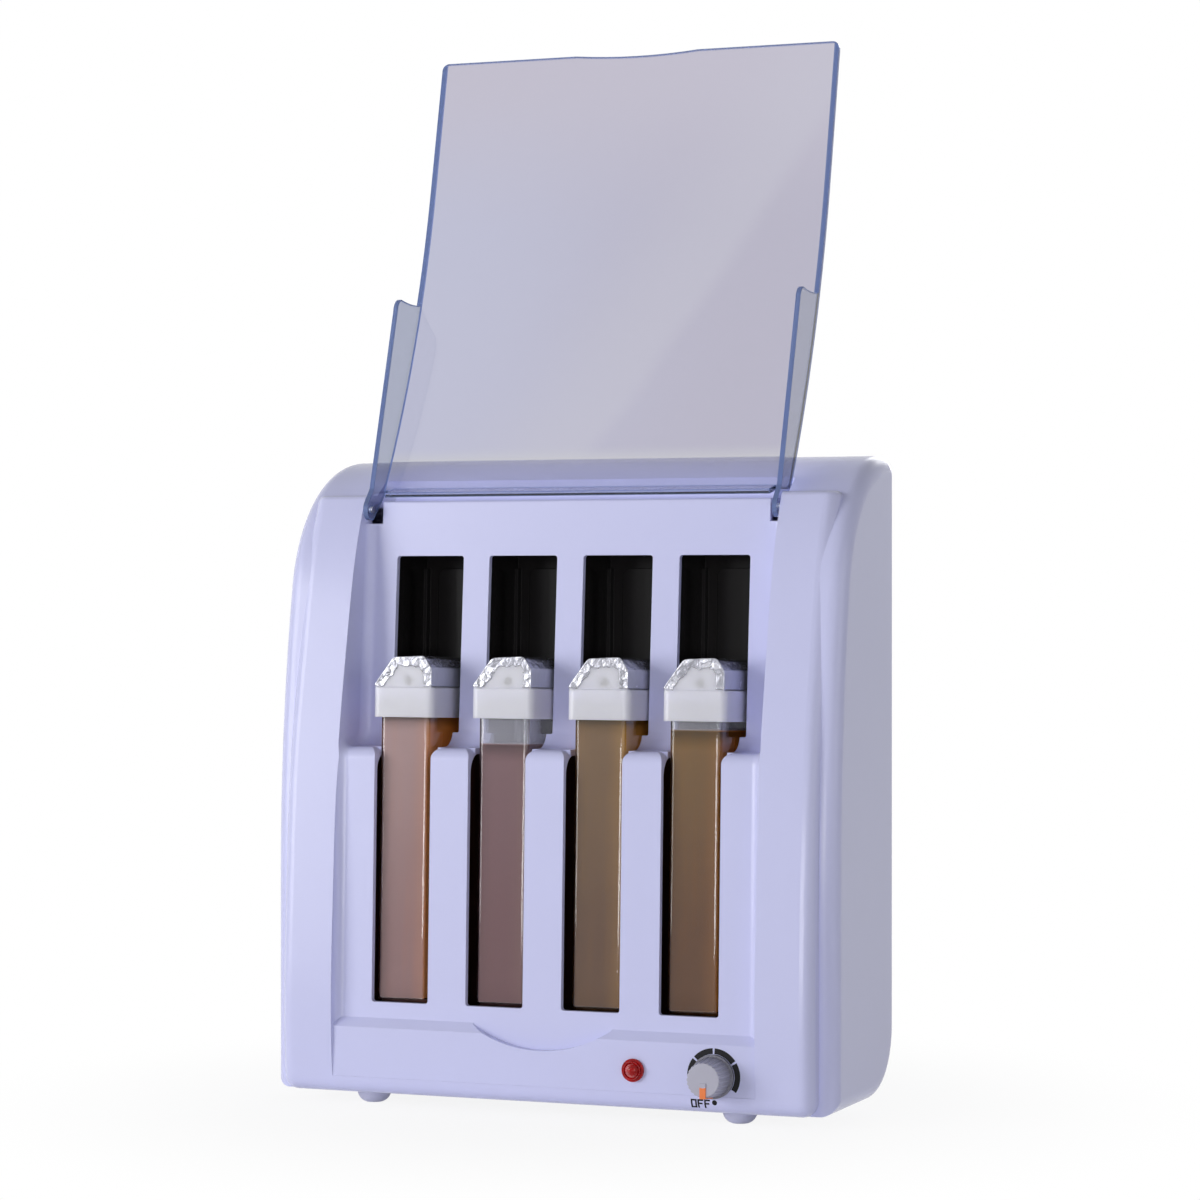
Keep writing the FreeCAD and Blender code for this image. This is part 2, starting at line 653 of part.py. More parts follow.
# ================================================================ lid
def buildLid():
    """The clear lid, drawn closed over the recess and then swung open to rest on the rim."""
    centre = (lidFrontY + lidArchRadius, lidArchZ)
    headTurn = math.degrees(math.asin((lidHeadZ - lidArchZ) / lidArchRadius))
    inner = lidArchRadius - lidThickness
    foot, footIn = Vec(0, lidFrontY, lidFootZ), Vec(0, lidFrontY + lidThickness, lidFootZ)
    plate = Part.Wire([lineEdge(foot, polar(centre, lidArchRadius, 0)),
                       arcEdge(centre, lidArchRadius, 0, headTurn),
                       lineEdge(polar(centre, lidArchRadius, headTurn), polar(centre, inner, headTurn)),
                       arcEdge(centre, inner, 0, headTurn),
                       lineEdge(polar(centre, inner, 0), footIn),
                       lineEdge(footIn, foot)])
    plate = alongX(plate, -lidHalfWidth, lidHalfWidth)
    corners = [e for e in plate.Edges if abs(e.CenterOfMass.z - lidFootZ) < 1e-3
               and abs(abs(e.CenterOfMass.x) - lidHalfWidth) < 1e-3]
    plate = plate.makeFillet(lidFreeRadius, corners)
    radius = (lidNotchHalfWidth ** 2 + lidNotchDepth ** 2) / (2 * lidNotchDepth)
    plate = plate.cut(rod(radius, (0, lidFrontY - 5, lidFootZ + lidNotchDepth - radius), (0, 1, 0), 20))

    head = polar(centre, lidArchRadius, headTurn)
    along = Vec(0, math.cos(math.radians(25)), math.sin(math.radians(25)))
    across = Vec(0, along.z, -along.y)
    endWall = Part.Wire([lineEdge(head, head + along * lidEndReach),
                         lineEdge(head + along * lidEndReach,
                                  head + along * lidEndReach + across * lidThickness),
                         lineEdge(head + along * lidEndReach + across * lidThickness,
                                  head + along * 1.0 + across * lidThickness),
                         lineEdge(head + along * 1.0 + across * lidThickness, head)])
    endWall = alongX(endWall, -lidEndHalfWidth, lidEndHalfWidth)

    flangeTurn = math.degrees(math.asin((lidFlangeFootZ - 4.0 - lidArchZ) / lidArchRadius))
    heel = polar(centre, lidArchRadius, flangeTurn)
    freeFoot = Vec(0, upperPanelAt(lidFlangeFootZ) - lidFlangeGap - 2.4, lidFlangeFootZ)
    freeSide = Vec(0, upperPanelAt(lidFlangeFootZ + 6) - lidFlangeGap, lidFlangeFootZ + 6)
    freeHead = Vec(0, upperPanelAt(pivotZ - 9) - lidFlangeGap, pivotZ - 9)
    earBack = polar((pivotY, pivotZ), earRadius, 205)
    earFront = polar((pivotY, pivotZ), earRadius, 45)
    flange = Part.Wire([arcEdge(centre, lidArchRadius, flangeTurn, headTurn),
                        lineEdge(head, earFront), lineEdge(earFront, earBack),
                        lineEdge(earBack, freeHead), lineEdge(freeHead, freeSide),
                        Part.Arc(freeSide, (freeFoot + freeSide) * 0.5 + Vec(0, 0.6, -0.9),
                                 freeFoot).toShape(),
                        Part.Arc(freeFoot, (freeFoot + heel) * 0.5 + Vec(0, 0, 0.9), heel).toShape()])
    flange = alongX(flange, lidHalfWidth - lidThickness, lidHalfWidth)
    ear = rod(earRadius, (lidHalfWidth - lidThickness, pivotY, pivotZ), (1, 0, 0), lidThickness)
    flange = fuse(flange, ear)
    bore = rod(hingePinRadius + runGap, (-lidHalfWidth - 1, pivotY, pivotZ), (1, 0, 0), 2 * lidHalfWidth + 2)
    lid = oneSolid(fuse(plate, endWall, *bothSides(flange)).cut(bore))
    lid.rotate(Vec(0, pivotY, pivotZ), Vec(-1, 0, 0), lidTurn)
    return lid


# ================================================================ cartridges
def leaned(shape, x):
    """Move a piece from the upright cartridge frame into its leaning place."""
    moved = shape.copy()
    moved.rotate(Vec(0, 0, 0), Vec(1, 0, 0), -cartridgeLean)
    moved.translate(Vec(x, bodyFrontY, bodyBottomZ))
    return moved


skirtFrontV = (bodyDepth - skirtDepth) / 2.0
deckHeight = bodyHeight + 1.0
deckTop = skirtBottom + skirtHeight


def cheekOutline(offset, foot):
    """Front view of the head above its skirt: a slope, a flat crown and a steep side."""
    half = skirtWidth / 2.0 - 1.0
    points = [Vec(-half - offset, 0, foot), Vec(-half - offset, 0, deckTop + 1.0),
              Vec(-4.4 - offset * 0.5, 0, headTop - 0.6 + offset), Vec(half - 3.2, 0, headTop + offset),
              Vec(half + offset, 0, headTop - 5.0), Vec(half + offset, 0, foot)]
    return roundedLoop(points, [0, 1.2, 3.0, 2.2 + offset, 2.2 + offset, 0])


def buildBottle():
    body = roundedBox(-bodyWidth / 2, bodyWidth / 2, 0, bodyDepth, 0, bodyHeight, bodyCornerRadius)
    body = body.makeFillet(1.4, [e for e in body.Edges if e.BoundBox.ZMax < 1e-3])
    inside = roundedBox(bottleWall - bodyWidth / 2, bodyWidth / 2 - bottleWall, bottleWall,
                        bodyDepth - bottleWall, bottleWall, bodyHeight + 1, bodyCornerRadius - bottleWall)
    return body.cut(inside)


def buildWax(level):
    gap = bottleWall + runGap
    return roundedBox(gap - bodyWidth / 2, bodyWidth / 2 - gap, gap, bodyDepth - gap, gap, level,
                      bodyCornerRadius - gap)


def buildHead():
    """Skirt, deck with the roller's opening, and a cheek at each end of the roller."""
    half, back = skirtWidth / 2.0, skirtFrontV + skirtDepth
    skirt = roundedBox(-half, half, skirtFrontV, back, skirtBottom, deckTop, skirtCornerRadius)
    skirt = skirt.makeFillet(0.8, [e for e in skirt.Edges if e.BoundBox.ZMin > deckTop - 1e-3])
    pocket = roundedBox(-half + skirtWall, half - skirtWall, skirtFrontV + skirtWall, back - skirtWall,
                        skirtBottom - 1, deckHeight, skirtCornerRadius - skirtWall)
    cheek = Part.Face(cheekOutline(0, deckTop - 1.0)).extrude(Vec(0, cheekThickness, 0))
    frontCheek, backCheek = cheek.copy(), cheek.copy()
    frontCheek.translate(Vec(0, skirtFrontV + 0.5, 0))
    backCheek.translate(Vec(0, back - 0.5 - cheekThickness, 0))
    opening = box(rollerX - rollerRadius - 1, rollerX + rollerRadius + 1,
                  skirtFrontV + 0.5 + cheekThickness, back - 0.5 - cheekThickness,
                  deckHeight - 2, deckTop + 1)
    bore = rod(axleRadius + runGap, (rollerX, skirtFrontV + 0.5 + axleSkin, rollerHeight), (0, 1, 0),
               skirtDepth - 1 - 2 * axleSkin)
    head = fuse(skirt.cut(pocket).cut(opening), frontCheek, backCheek).cut(bore)
    return oneSolid(head)


def buildRoller():
    start = skirtFrontV + 0.5 + cheekThickness + fitGap
    length = skirtDepth - 2 * (0.5 + cheekThickness + fitGap)
    barrel = rod(rollerRadius, (rollerX, start, rollerHeight), (0, 1, 0), length)
    axle = rod(axleRadius, (rollerX, skirtFrontV + 0.5 + axleSkin + seatGap, rollerHeight), (0, 1, 0),
               skirtDepth - 1 - 2 * (axleSkin + seatGap))
    return fuse(barrel, axle)


def buildFoil():
    """A thin seal over the arch, folded down over the edge of the front cheek."""
    near, far = skirtFrontV + 0.5, skirtFrontV + skirtDepth - 0.5
    foot = deckTop + 0.3
    outer = Part.Face(cheekOutline(seatGap + foilThickness, foot))
    inner = Part.Face(cheekOutline(seatGap, foot - 1))
    core = Part.Face(cheekOutline(-foilFold, foot - 1))
    start = near - seatGap - foilThickness
    shell = outer.extrude(Vec(0, far - start, 0))
    shell.translate(Vec(0, start, 0))
    hollow = inner.extrude(Vec(0, 200, 0))
    hollow.translate(Vec(0, near - seatGap, 0))
    window = core.extrude(Vec(0, 200, 0))
    window.translate(Vec(0, -100, 0))
    return oneSolid(shell.cut(hollow).cut(window))


# ================================================================ heating chambers
def buildChamber(panelBlock, centre):
    """A black liner, open at the front, with a raised back panel between two upright ribs."""
    half = chamberHalfWidth + chamberWall
    back = chamberBackV - chamberWall
    outer = box(-half, half, -14, chamberBackV, -fitGap - chamberWall, chamberTop)
    inner = box(-chamberHalfWidth, chamberHalfWidth, -30, back, -fitGap, chamberTop - chamberWall)
    low, high, side = 6.0, chamberTop - 9.0, chamberPanelHalfWidth
    raised = roundedLoop([Vec(-side, 0, low), Vec(side, 0, low), Vec(side, 0, high),
                          Vec(-side, 0, high)], [3.0] * 4)
    raised = Part.Face(raised).extrude(Vec(0, chamberPanelDepth + 0.2, 0))
    raised.translate(Vec(0, back - chamberPanelDepth, 0))
    rib = box(-chamberHalfWidth - 0.2, -chamberHalfWidth + 1.5, back - chamberRibDepth, back + 0.2,
              4, high)
    chamber = fuse(outer.cut(inner), raised, *bothSides(rib))
    return oneSolid(leaned(chamber, centre).cut(panelBlock))


def betweenStraps(gap):
    """Height range between the two straps, in the cartridge frame."""
    return (strapHeights[0] + strapHeight / 2.0 + gap - bodyBottomZ,
            strapHeights[1] - strapHeight / 2.0 - gap - bodyBottomZ)


def buildPad(centre):
    low, high = betweenStraps(padStrapGap)
    start = chamberBackV + seatGap
    return leaned(box(-padWidth / 2, padWidth / 2, start, start + padThickness, low, high), centre)


def buildMat():
    low, high = betweenStraps(matStrapGap)
    start = chamberBackV + seatGap + padThickness + fitGap
    return leaned(roundedBox(-matHalfWidth, matHalfWidth, start, start + matThickness, low, high, 2.0), 0)


def buildStrap(z):
    y = strapYAt(z)
    half = strapHeight / 2.0
    end = slotCount / 2.0 * slotPitch + strapEnd
    strap = box(-end, end, y, y + strapThickness, z - half, z + half)
    for x, height in postSpots:
        if height == z:
            strap = strap.cut(rod(screwHoleRadius, (x, y - 1, z), (0, 1, 0), strapThickness + 2))
    return strap


# ================================================================ knob, thermostat and lamp
def buildKnob():
    """Return the fluted knob and its pointer, axis along Y, pointing down at rest."""
    baseY = fasciaY - knobGap
    skirt = rod(knobBaseRadius, (knobX, baseY - 1.6, knobZ), (0, 1, 0), 1.6)
    taper = knobHeight - 1.6
    cone = Part.makeCone(knobBaseRadius - 0.7, knobFaceRadius, taper, Vec(knobX, baseY - 1.6, knobZ),
                         Vec(0, -1, 0))
    face = [e for e in cone.Edges
            if abs(e.CenterOfMass.y - baseY + knobHeight) < 1e-3 and len(e.Vertexes) == 1]
    cone = cone.makeFillet(0.8, face)
    flutes = []
    for n in range(knobFlutes):
        turn = 2 * math.pi * (n + 0.5) / knobFlutes
        out = Vec(math.cos(turn), 0, math.sin(turn))
        low = Vec(knobX, baseY - 1.6, knobZ) + out * (knobBaseRadius - 0.5)
        high = Vec(knobX, baseY - knobHeight - 0.5, knobZ) + out * (knobFaceRadius + 0.15)
        flutes.append(Part.makeCylinder(0.62, (high - low).Length, low, high - low))
    pocket = rod(nutRadius + 0.8, (knobX, baseY - 2.4, knobZ), (0, 1, 0), 5)
    bore = rod(shaftRadius + pressGap, (knobX, baseY - knobHeight + 2.0, knobZ), (0, 1, 0), 20)
    knob = fuse(skirt, cone).cut(Part.makeCompound(flutes)).cut(pocket).cut(bore)
    grown = Part.makeCone(knobBaseRadius - 0.3, knobFaceRadius + 0.4, taper + 0.4,
                          Vec(knobX, baseY - 1.6, knobZ), Vec(0, -1, 0))
    strip = box(knobX - pointerHalfWidth, knobX + pointerHalfWidth, baseY - knobHeight - 1,
                baseY - 4.0, knobZ - 12, knobZ - 1.2)
    pointer = grown.common(strip).cut(fuse(skirt, cone))
    return oneSolid(knob), oneSolid(pointer)


def buildShaft():
    start = fasciaY - knobGap - knobHeight + 2.0 + seatGap
    return rod(shaftRadius, (knobX, start, knobZ), (0, 1, 0), thermostatBackY - shaftDepth - start)


def buildThermostat():
    case = roundedBox(knobX - thermostatHalfWidth, knobX + thermostatHalfWidth, fasciaY + wall,
                      thermostatBackY, knobZ - thermostatHalfHeight, knobZ + thermostatHalfHeight, 1.5)
    bushStart = fasciaY - nutThickness - 0.4
    bush = rod(bushRadius, (knobX, bushStart, knobZ), (0, 1, 0), fasciaY + wall + 1.0 - bushStart)
    tabs = [box(knobX + x - 0.4, knobX + x + 0.4, thermostatBackY - 1,
                thermostatBackY + thermostatTabLength, knobZ - 2.4, knobZ + 2.4)
            for x in (-thermostatTabX, thermostatTabX)]
    boreStart = bushStart - 1.0
    bore = rod(shaftRadius + runGap, (knobX, boreStart, knobZ), (0, 1, 0),
               thermostatBackY - shaftDepth + fitGap - boreStart)
    return oneSolid(fuse(case, bush, *tabs).cut(bore))


def buildLamp():
    """Return the lamp's housing, its domed lens, the bulb inside and the nut behind the fascia."""
    ring = rod(lampRingRadius, (lampX, fasciaY - 1.2, lampZ), (0, 1, 0), 1.2)
    neck = rod(lampNeckRadius, (lampX, fasciaY - 0.5, lampZ), (0, 1, 0), 20)
    housing = fuse(ring, neck).cut(rod(2.6, (lampX, fasciaY - 2, lampZ), (0, 1, 0), 16))
    domeHeight = 2.4
    sphere = (lensRadius ** 2 + domeHeight ** 2) / (2 * domeHeight)
    front = fasciaY - 1.2
    dome = Part.makeSphere(sphere, Vec(lampX, front - domeHeight + sphere, lampZ))
    dome = dome.common(box(lampX - 20, lampX + 20, front - 20, front, lampZ - 20, lampZ + 20))
    lens = fuse(dome, rod(2.6 - seatGap, (lampX, front - 0.5, lampZ), (0, 1, 0), 4.5))
    bulb = rod(1.9, (lampX, front + 4.6, lampZ), (0, 1, 0), 8.0)
    nut = hexNut(5.6, 2.0, lampNeckRadius + runGap, (lampX, fasciaY + wall, lampZ))
    return housing, oneSolid(lens), bulb, nut


# ================================================================ mains parts
def buildInlet():
    """Return the two-pin appliance inlet and its pins."""
    flangeX, flangeZ, flangeY = inletFlange
    bodyX, bodyZ, bodyLength = inletBody
    flange = roundedBox(inletX - flangeX / 2, inletX + flangeX / 2, inletZ - flangeZ / 2,
                        inletZ + flangeZ / 2, -backY - flangeY, -backY, 3.0)
    flange.rotate(Vec(0, 0, 0), Vec(1, 0, 0), 90)
    body = box(inletX - bodyX / 2, inletX + bodyX / 2, backY - bodyLength, backY + 0.5,
               inletZ - bodyZ / 2, inletZ + bodyZ / 2)
    mouthY = backY + flangeY - socketDepth
    spread = inletPinSpacing / 2.0 + 0.6
    socket = fuse(*[rod(socketRadius, (inletX + side * spread, mouthY, inletZ), (0, 1, 0), 30)
                    for side in (-1, 1)],
                  box(inletX - spread, inletX + spread, mouthY, mouthY + 30, inletZ - socketRadius,
                      inletZ + socketRadius))
    pins, holes = [], []
    for side in (-1, 1):
        x = inletX + side * inletPinSpacing / 2.0
        start = backY - bodyLength - inletPinTail
        pins.append(rod(inletPinRadius, (x, start, inletZ), (0, 1, 0), mouthY + 10.0 - start))
        holes.append(rod(inletPinRadius + pressGap, (x, start - 1, inletZ), (0, 1, 0), 40))
    inlet = fuse(flange, body).cut(socket).cut(Part.makeCompound(holes))
    return oneSolid(inlet), Part.makeCompound(pins)


def buildTerminals():
    """A three-way screw terminal block on the floor of the housing."""
    block = box(terminalX - terminalHalfWidth, terminalX + terminalHalfWidth, terminalY - terminalHalfDepth,
                terminalY + terminalHalfDepth, floorZ, floorZ + terminalHeight)
    for step in (-1, 0, 1):
        x = terminalX + step * terminalPitch
        block = block.cut(rod(1.9, (x, terminalY, floorZ + terminalHoleZ), (0, 0, 1), terminalHeight))
        block = block.cut(rod(leadRadius + fitGap, (x, 0, floorZ + terminalHoleZ), (0, 1, 0), backY))
    return oneSolid(block)


def buildFuse():
    z = strapHeights[1]
    y = strapYAt(z) + strapThickness + fuseRadius + seatGap
    start = (slotPitch - fuseLength) / 2.0
    body = rod(fuseRadius, (start, y, z), (1, 0, 0), fuseLength)
    leads = rod(0.4, (start - fuseLeadLength, y, z), (1, 0, 0), fuseLength + 2 * fuseLeadLength)
    return fuse(body, leads)


def tube(points, radius):
    """A round wire along straight runs joined by tangent arcs."""
    bend = 3.0 * radius
    edges, here = [], points[0]
    for before, corner, after in zip(points, points[1:], points[2:]):
        inward, onward = (before - corner).normalize(), (after - corner).normalize()
        half = math.acos(inward.dot(onward)) / 2.0
        reach = bend / math.tan(half)
        bisector = (inward + onward).normalize()
        start, end = corner + inward * reach, corner + onward * reach
        middle = corner + bisector * (bend / math.sin(half) - bend)
        edges += [lineEdge(here, start), Part.Arc(start, middle, end).toShape()]
        here = end
    edges.append(lineEdge(here, points[-1]))
    circle = Part.Wire(Part.makeCircle(radius, points[0], points[1] - points[0]))
    return oneSolid(Part.Wire(edges).makePipeShell([circle], True, False))


def buildWiring():
    """Leads from the inlet to the terminals, the thermostat and the pads, one after the other."""
    pinEndY = backY - inletBody[2] - inletPinTail - fitGap
    tabEndY = thermostatBackY + thermostatTabLength + fitGap
    holeZ = floorZ + terminalHoleZ
    holes = [terminalX + step * terminalPitch for step in (-1, 0, 1)]
    padFoot = leaned(Part.Vertex(0, chamberBackV + seatGap + padThickness / 2.0,
                                 betweenStraps(padStrapGap)[0] - fitGap), 0).Point
    busY = strapYAt(strapHeights[0]) + strapThickness + leadRadius + 1.0
    busZ = strapHeights[0] - strapHeight / 2.0 - 6.0
    strapTopZ = strapHeights[0] + strapHeight / 2.0

    def riser(x):
        """From the run below the straps, behind the lower strap, to a pad's foot."""
        return [Vec(x, busY, busZ), Vec(x, busY, strapTopZ + 2), Vec(x, padFoot.y, strapTopZ + 5),
                Vec(x, padFoot.y, padFoot.z)]

    pinX = [inletX + side * inletPinSpacing / 2.0 for side in (-1, 1)]
    lineRunY, neutralRunY = terminalY + 11.0, terminalY + 16.0
    controlRunY, returnRunY, feedRunY = terminalY - 18.0, terminalY - 14.0, terminalY - 8.0
    routes = [
        [Vec(pinX[0], pinEndY, inletZ), Vec(pinX[0], pinEndY - 9, inletZ),
         Vec(pinX[0], pinEndY - 9, holeZ), Vec(pinX[0] + 16, lineRunY, holeZ),
         Vec(holes[0], lineRunY, holeZ), Vec(holes[0], terminalY + 1, holeZ)],
        [Vec(pinX[1], pinEndY, inletZ), Vec(pinX[1], pinEndY - 9, inletZ),
         Vec(pinX[1], pinEndY - 5, holeZ + 14), Vec(pinX[1] + 14, neutralRunY, holeZ + 8),
         Vec(holes[2], neutralRunY, holeZ + 6),
         Vec(holes[2], neutralRunY - 6, holeZ), Vec(holes[2], terminalY + 1, holeZ)],
        [Vec(holes[0], terminalY - 1, holeZ), Vec(holes[0], controlRunY, holeZ),
         Vec(knobX - 20, controlRunY, holeZ),
         Vec(knobX - thermostatTabX, tabEndY + 10, knobZ), Vec(knobX - thermostatTabX, tabEndY, knobZ)],
        [Vec(knobX + thermostatTabX, tabEndY, knobZ), Vec(knobX + thermostatTabX, feedRunY, knobZ),
         Vec(slotCentres[-1] + 7, busY, busZ - 12)] + riser(slotCentres[-1] + 7)[1:],
        [Vec(holes[2], terminalY - 1, holeZ), Vec(holes[2], returnRunY, holeZ),
         Vec(slotCentres[0] - 7, returnRunY, holeZ),
         Vec(slotCentres[0] - 7, busY, holeZ + 12)] + riser(slotCentres[0] - 7)[1:]]
    for left, right in zip(slotCentres, slotCentres[1:]):
        routes.append(riser(left + 7)[::-1] + riser(right - 7))
    return Part.makeCompound([tube(route, leadRadius) for route in routes])


# ================================================================ the whole
pieces = {}
pieces["front_shell"], pieces["rear_cover"] = buildHousing()
pieces["cover_screws"] = Part.makeCompound(
    [screw(x, coverHeadY, z, coverScrewLength) for x, z in bossSpots])
pieces["rubber_feet"] = buildFeet()
pieces["hinge_pins"] = Part.makeCompound(bothSides(
    rod(hingePinRadius, (pinInnerX + seatGap, pivotY, pivotZ), (1, 0, 0), pinOuterX - pinInnerX)))
panelBlock = alongX(recessOutline(wall + fitGap), -halfWidth, halfWidth)
for n, centre in enumerate(slotCentres):
    tag = "_%d" % (n + 1)
    pieces["chamber" + tag] = buildChamber(panelBlock, centre)
    pieces["heater_pad" + tag] = buildPad(centre)
pieces["insulation_mat"] = buildMat()
pieces["chamber_strap_lower"] = buildStrap(strapHeights[0])
pieces["chamber_strap_upper"] = buildStrap(strapHeights[1])
pieces["strap_screws"] = Part.makeCompound(
    [screw(x, strapYAt(z) + strapThickness, z, strapScrewLength) for x, z in postSpots])
pieces["thermal_fuse"] = buildFuse()
pieces["terminal_block"] = buildTerminals()
pieces["wiring"] = buildWiring()
pieces["power_inlet"], pieces["inlet_pins"] = buildInlet()
pieces["thermostat"] = buildThermostat()
pieces["thermostat_nut"] = hexNut(nutRadius, nutThickness, bushRadius + runGap,
                                  (knobX, fasciaY - nutThickness, knobZ))
pieces["thermostat_shaft"] = buildShaft()
pieces["knob"], pieces["knob_pointer"] = buildKnob()
(pieces["lamp_housing"], pieces["lamp_lens"], pieces["lamp_bulb"],
 pieces["lamp_nut"]) = buildLamp()
pieces["lid"] = buildLid()
for n, centre in enumerate(slotCentres):
    tag = "_%d" % (n + 1)
    place = centre + sideShift[n]
    pieces["bottle" + tag] = leaned(buildBottle(), place)
    pieces["wax" + tag] = leaned(buildWax(waxLevels[n]), place)
    pieces["head" + tag] = leaned(buildHead(), place)
    pieces["roller" + tag] = leaned(buildRoller(), place)
    pieces["foil" + tag] = leaned(buildFoil(), place)

# The origin is midway between the front of the knob and the back of the opened lid.
knobFrontY = pieces["knob_pointer"].BoundBox.YMin
lidBackY = pieces["lid"].BoundBox.YMax
middleY = (knobFrontY + lidBackY) / 2.0
for name, shape in pieces.items():
    shape.translate(Vec(0, -middleY, 0))
    for solid in shape.Solids:
        assert solid.isValid(), name
    shape.exportStep("parts/%s.step" % name)
print("pieces", len(pieces), "middleY", middleY, "rimY", rimY, "crownTopZ", crownTopZ)
print("pivot", pivotY - middleY, pivotZ, "knob", knobX, knobZ)
lean = math.radians(cartridgeLean)
rollerAt = (bodyFrontY - middleY + rollerHeight * math.sin(lean), bodyBottomZ + rollerHeight * math.cos(lean))
print("roller", [round(c + s + rollerX, 4) for c, s in zip(slotCentres, sideShift)], rollerAt)
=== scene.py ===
import math

import bpy
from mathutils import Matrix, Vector, noise
from mathutils.bvhtree import BVHTree


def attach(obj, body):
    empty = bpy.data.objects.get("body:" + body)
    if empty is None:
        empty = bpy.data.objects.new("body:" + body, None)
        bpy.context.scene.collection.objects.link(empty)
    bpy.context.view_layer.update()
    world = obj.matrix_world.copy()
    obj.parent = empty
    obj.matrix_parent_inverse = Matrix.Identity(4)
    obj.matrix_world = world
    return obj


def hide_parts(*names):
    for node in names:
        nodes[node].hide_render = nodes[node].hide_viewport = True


# Roll on wax heater: finishes, foil seals, dial print, lamp, studio. Metres, Z up, front towards -Y.
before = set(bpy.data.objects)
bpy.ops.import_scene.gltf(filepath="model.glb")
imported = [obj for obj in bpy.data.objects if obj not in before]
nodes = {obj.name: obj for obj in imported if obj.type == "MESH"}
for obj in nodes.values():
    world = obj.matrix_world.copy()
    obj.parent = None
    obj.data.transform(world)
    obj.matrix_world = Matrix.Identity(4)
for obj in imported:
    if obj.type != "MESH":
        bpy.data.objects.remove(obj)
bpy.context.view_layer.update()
scene = bpy.context.scene
scene.view_settings.view_transform = "Standard"
slotNumbers = range(1, 5)
print("frame loaded:", len(nodes), "nodes")


# ---------- shader helpers
def tint(red, green, blue):
    # 0-255 screen colour to the linear colour that nodes expect
    def linear(value):
        value /= 255
        return value / 12.92 if value <= 0.04045 else ((value + 0.055) / 1.055) ** 2.4
    return (linear(red), linear(green), linear(blue), 1.0)


def shaded(colour, share):
    return tuple(c * share for c in colour[:3]) + (1.0,)


class Flow:
    # an output socket that can be used in sums
    def __init__(self, graph, socket):
        self.graph = graph
        self.socket = socket

    def maths(self, operation, *values):
        return self.graph.out("Math", {"operation": operation}, dict(enumerate(values)))

    def __add__(self, other):
        return self.maths("ADD", self, other)

    def __radd__(self, other):
        return self.maths("ADD", other, self)

    def __sub__(self, other):
        return self.maths("SUBTRACT", self, other)

    def __rsub__(self, other):
        return self.maths("SUBTRACT", other, self)

    def __mul__(self, other):
        return self.maths("MULTIPLY", self, other)

    def __rmul__(self, other):
        return self.maths("MULTIPLY", other, self)

    def __pow__(self, other):
        return self.maths("POWER", self, other)

    def orMore(self, other):
        return self.maths("MAXIMUM", self, other)

    def clamped(self):
        return self.graph.out("Clamp", {}, {"Value": self})

    def swing(self, reach):
        # 0 to 1 made into a change about zero, reach from end to end
        return (self - 0.5) * reach

    def ramp(self, low, high):
        # 0 below low, 1 above high, smooth between
        return self.graph.out("MapRange", {"interpolation_type": "SMOOTHSTEP"},
                              {"Value": self, "From Min": low, "From Max": high})


class Graph:
    # makes and links the nodes of one material or world
    def __init__(self, tree):
        self.tree = tree
        self.tree.nodes.clear()

    def feed(self, socket, value):
        if isinstance(value, Flow):
            value = value.socket
        if isinstance(value, bpy.types.NodeSocket):
            self.tree.links.new(value, socket)
        else:
            socket.default_value = value

    def node(self, kind, settings=None, sockets=None):
        made = self.tree.nodes.new("ShaderNode" + kind)
        for key, value in (settings or {}).items():
            setattr(made, key, value)
        for key, value in (sockets or {}).items():
            self.feed(made.inputs[key], value)
        return made

    def out(self, kind, settings=None, sockets=None, output=0):
        return Flow(self, self.node(kind, settings, sockets).outputs[output])

    def mixed(self, factor, first, second):
        return self.out("MixShader", {}, {0: factor, 1: first, 2: second})

    def sight(self):
        # 1 for rays that show the backdrop, 0 for rays that carry light
        rays = self.node("LightPath")
        seen = Flow(self, rays.outputs["Is Camera Ray"])
        for other in ("Is Glossy Ray", "Is Transmission Ray"):
            seen = seen.orMore(Flow(self, rays.outputs[other]))
        return seen


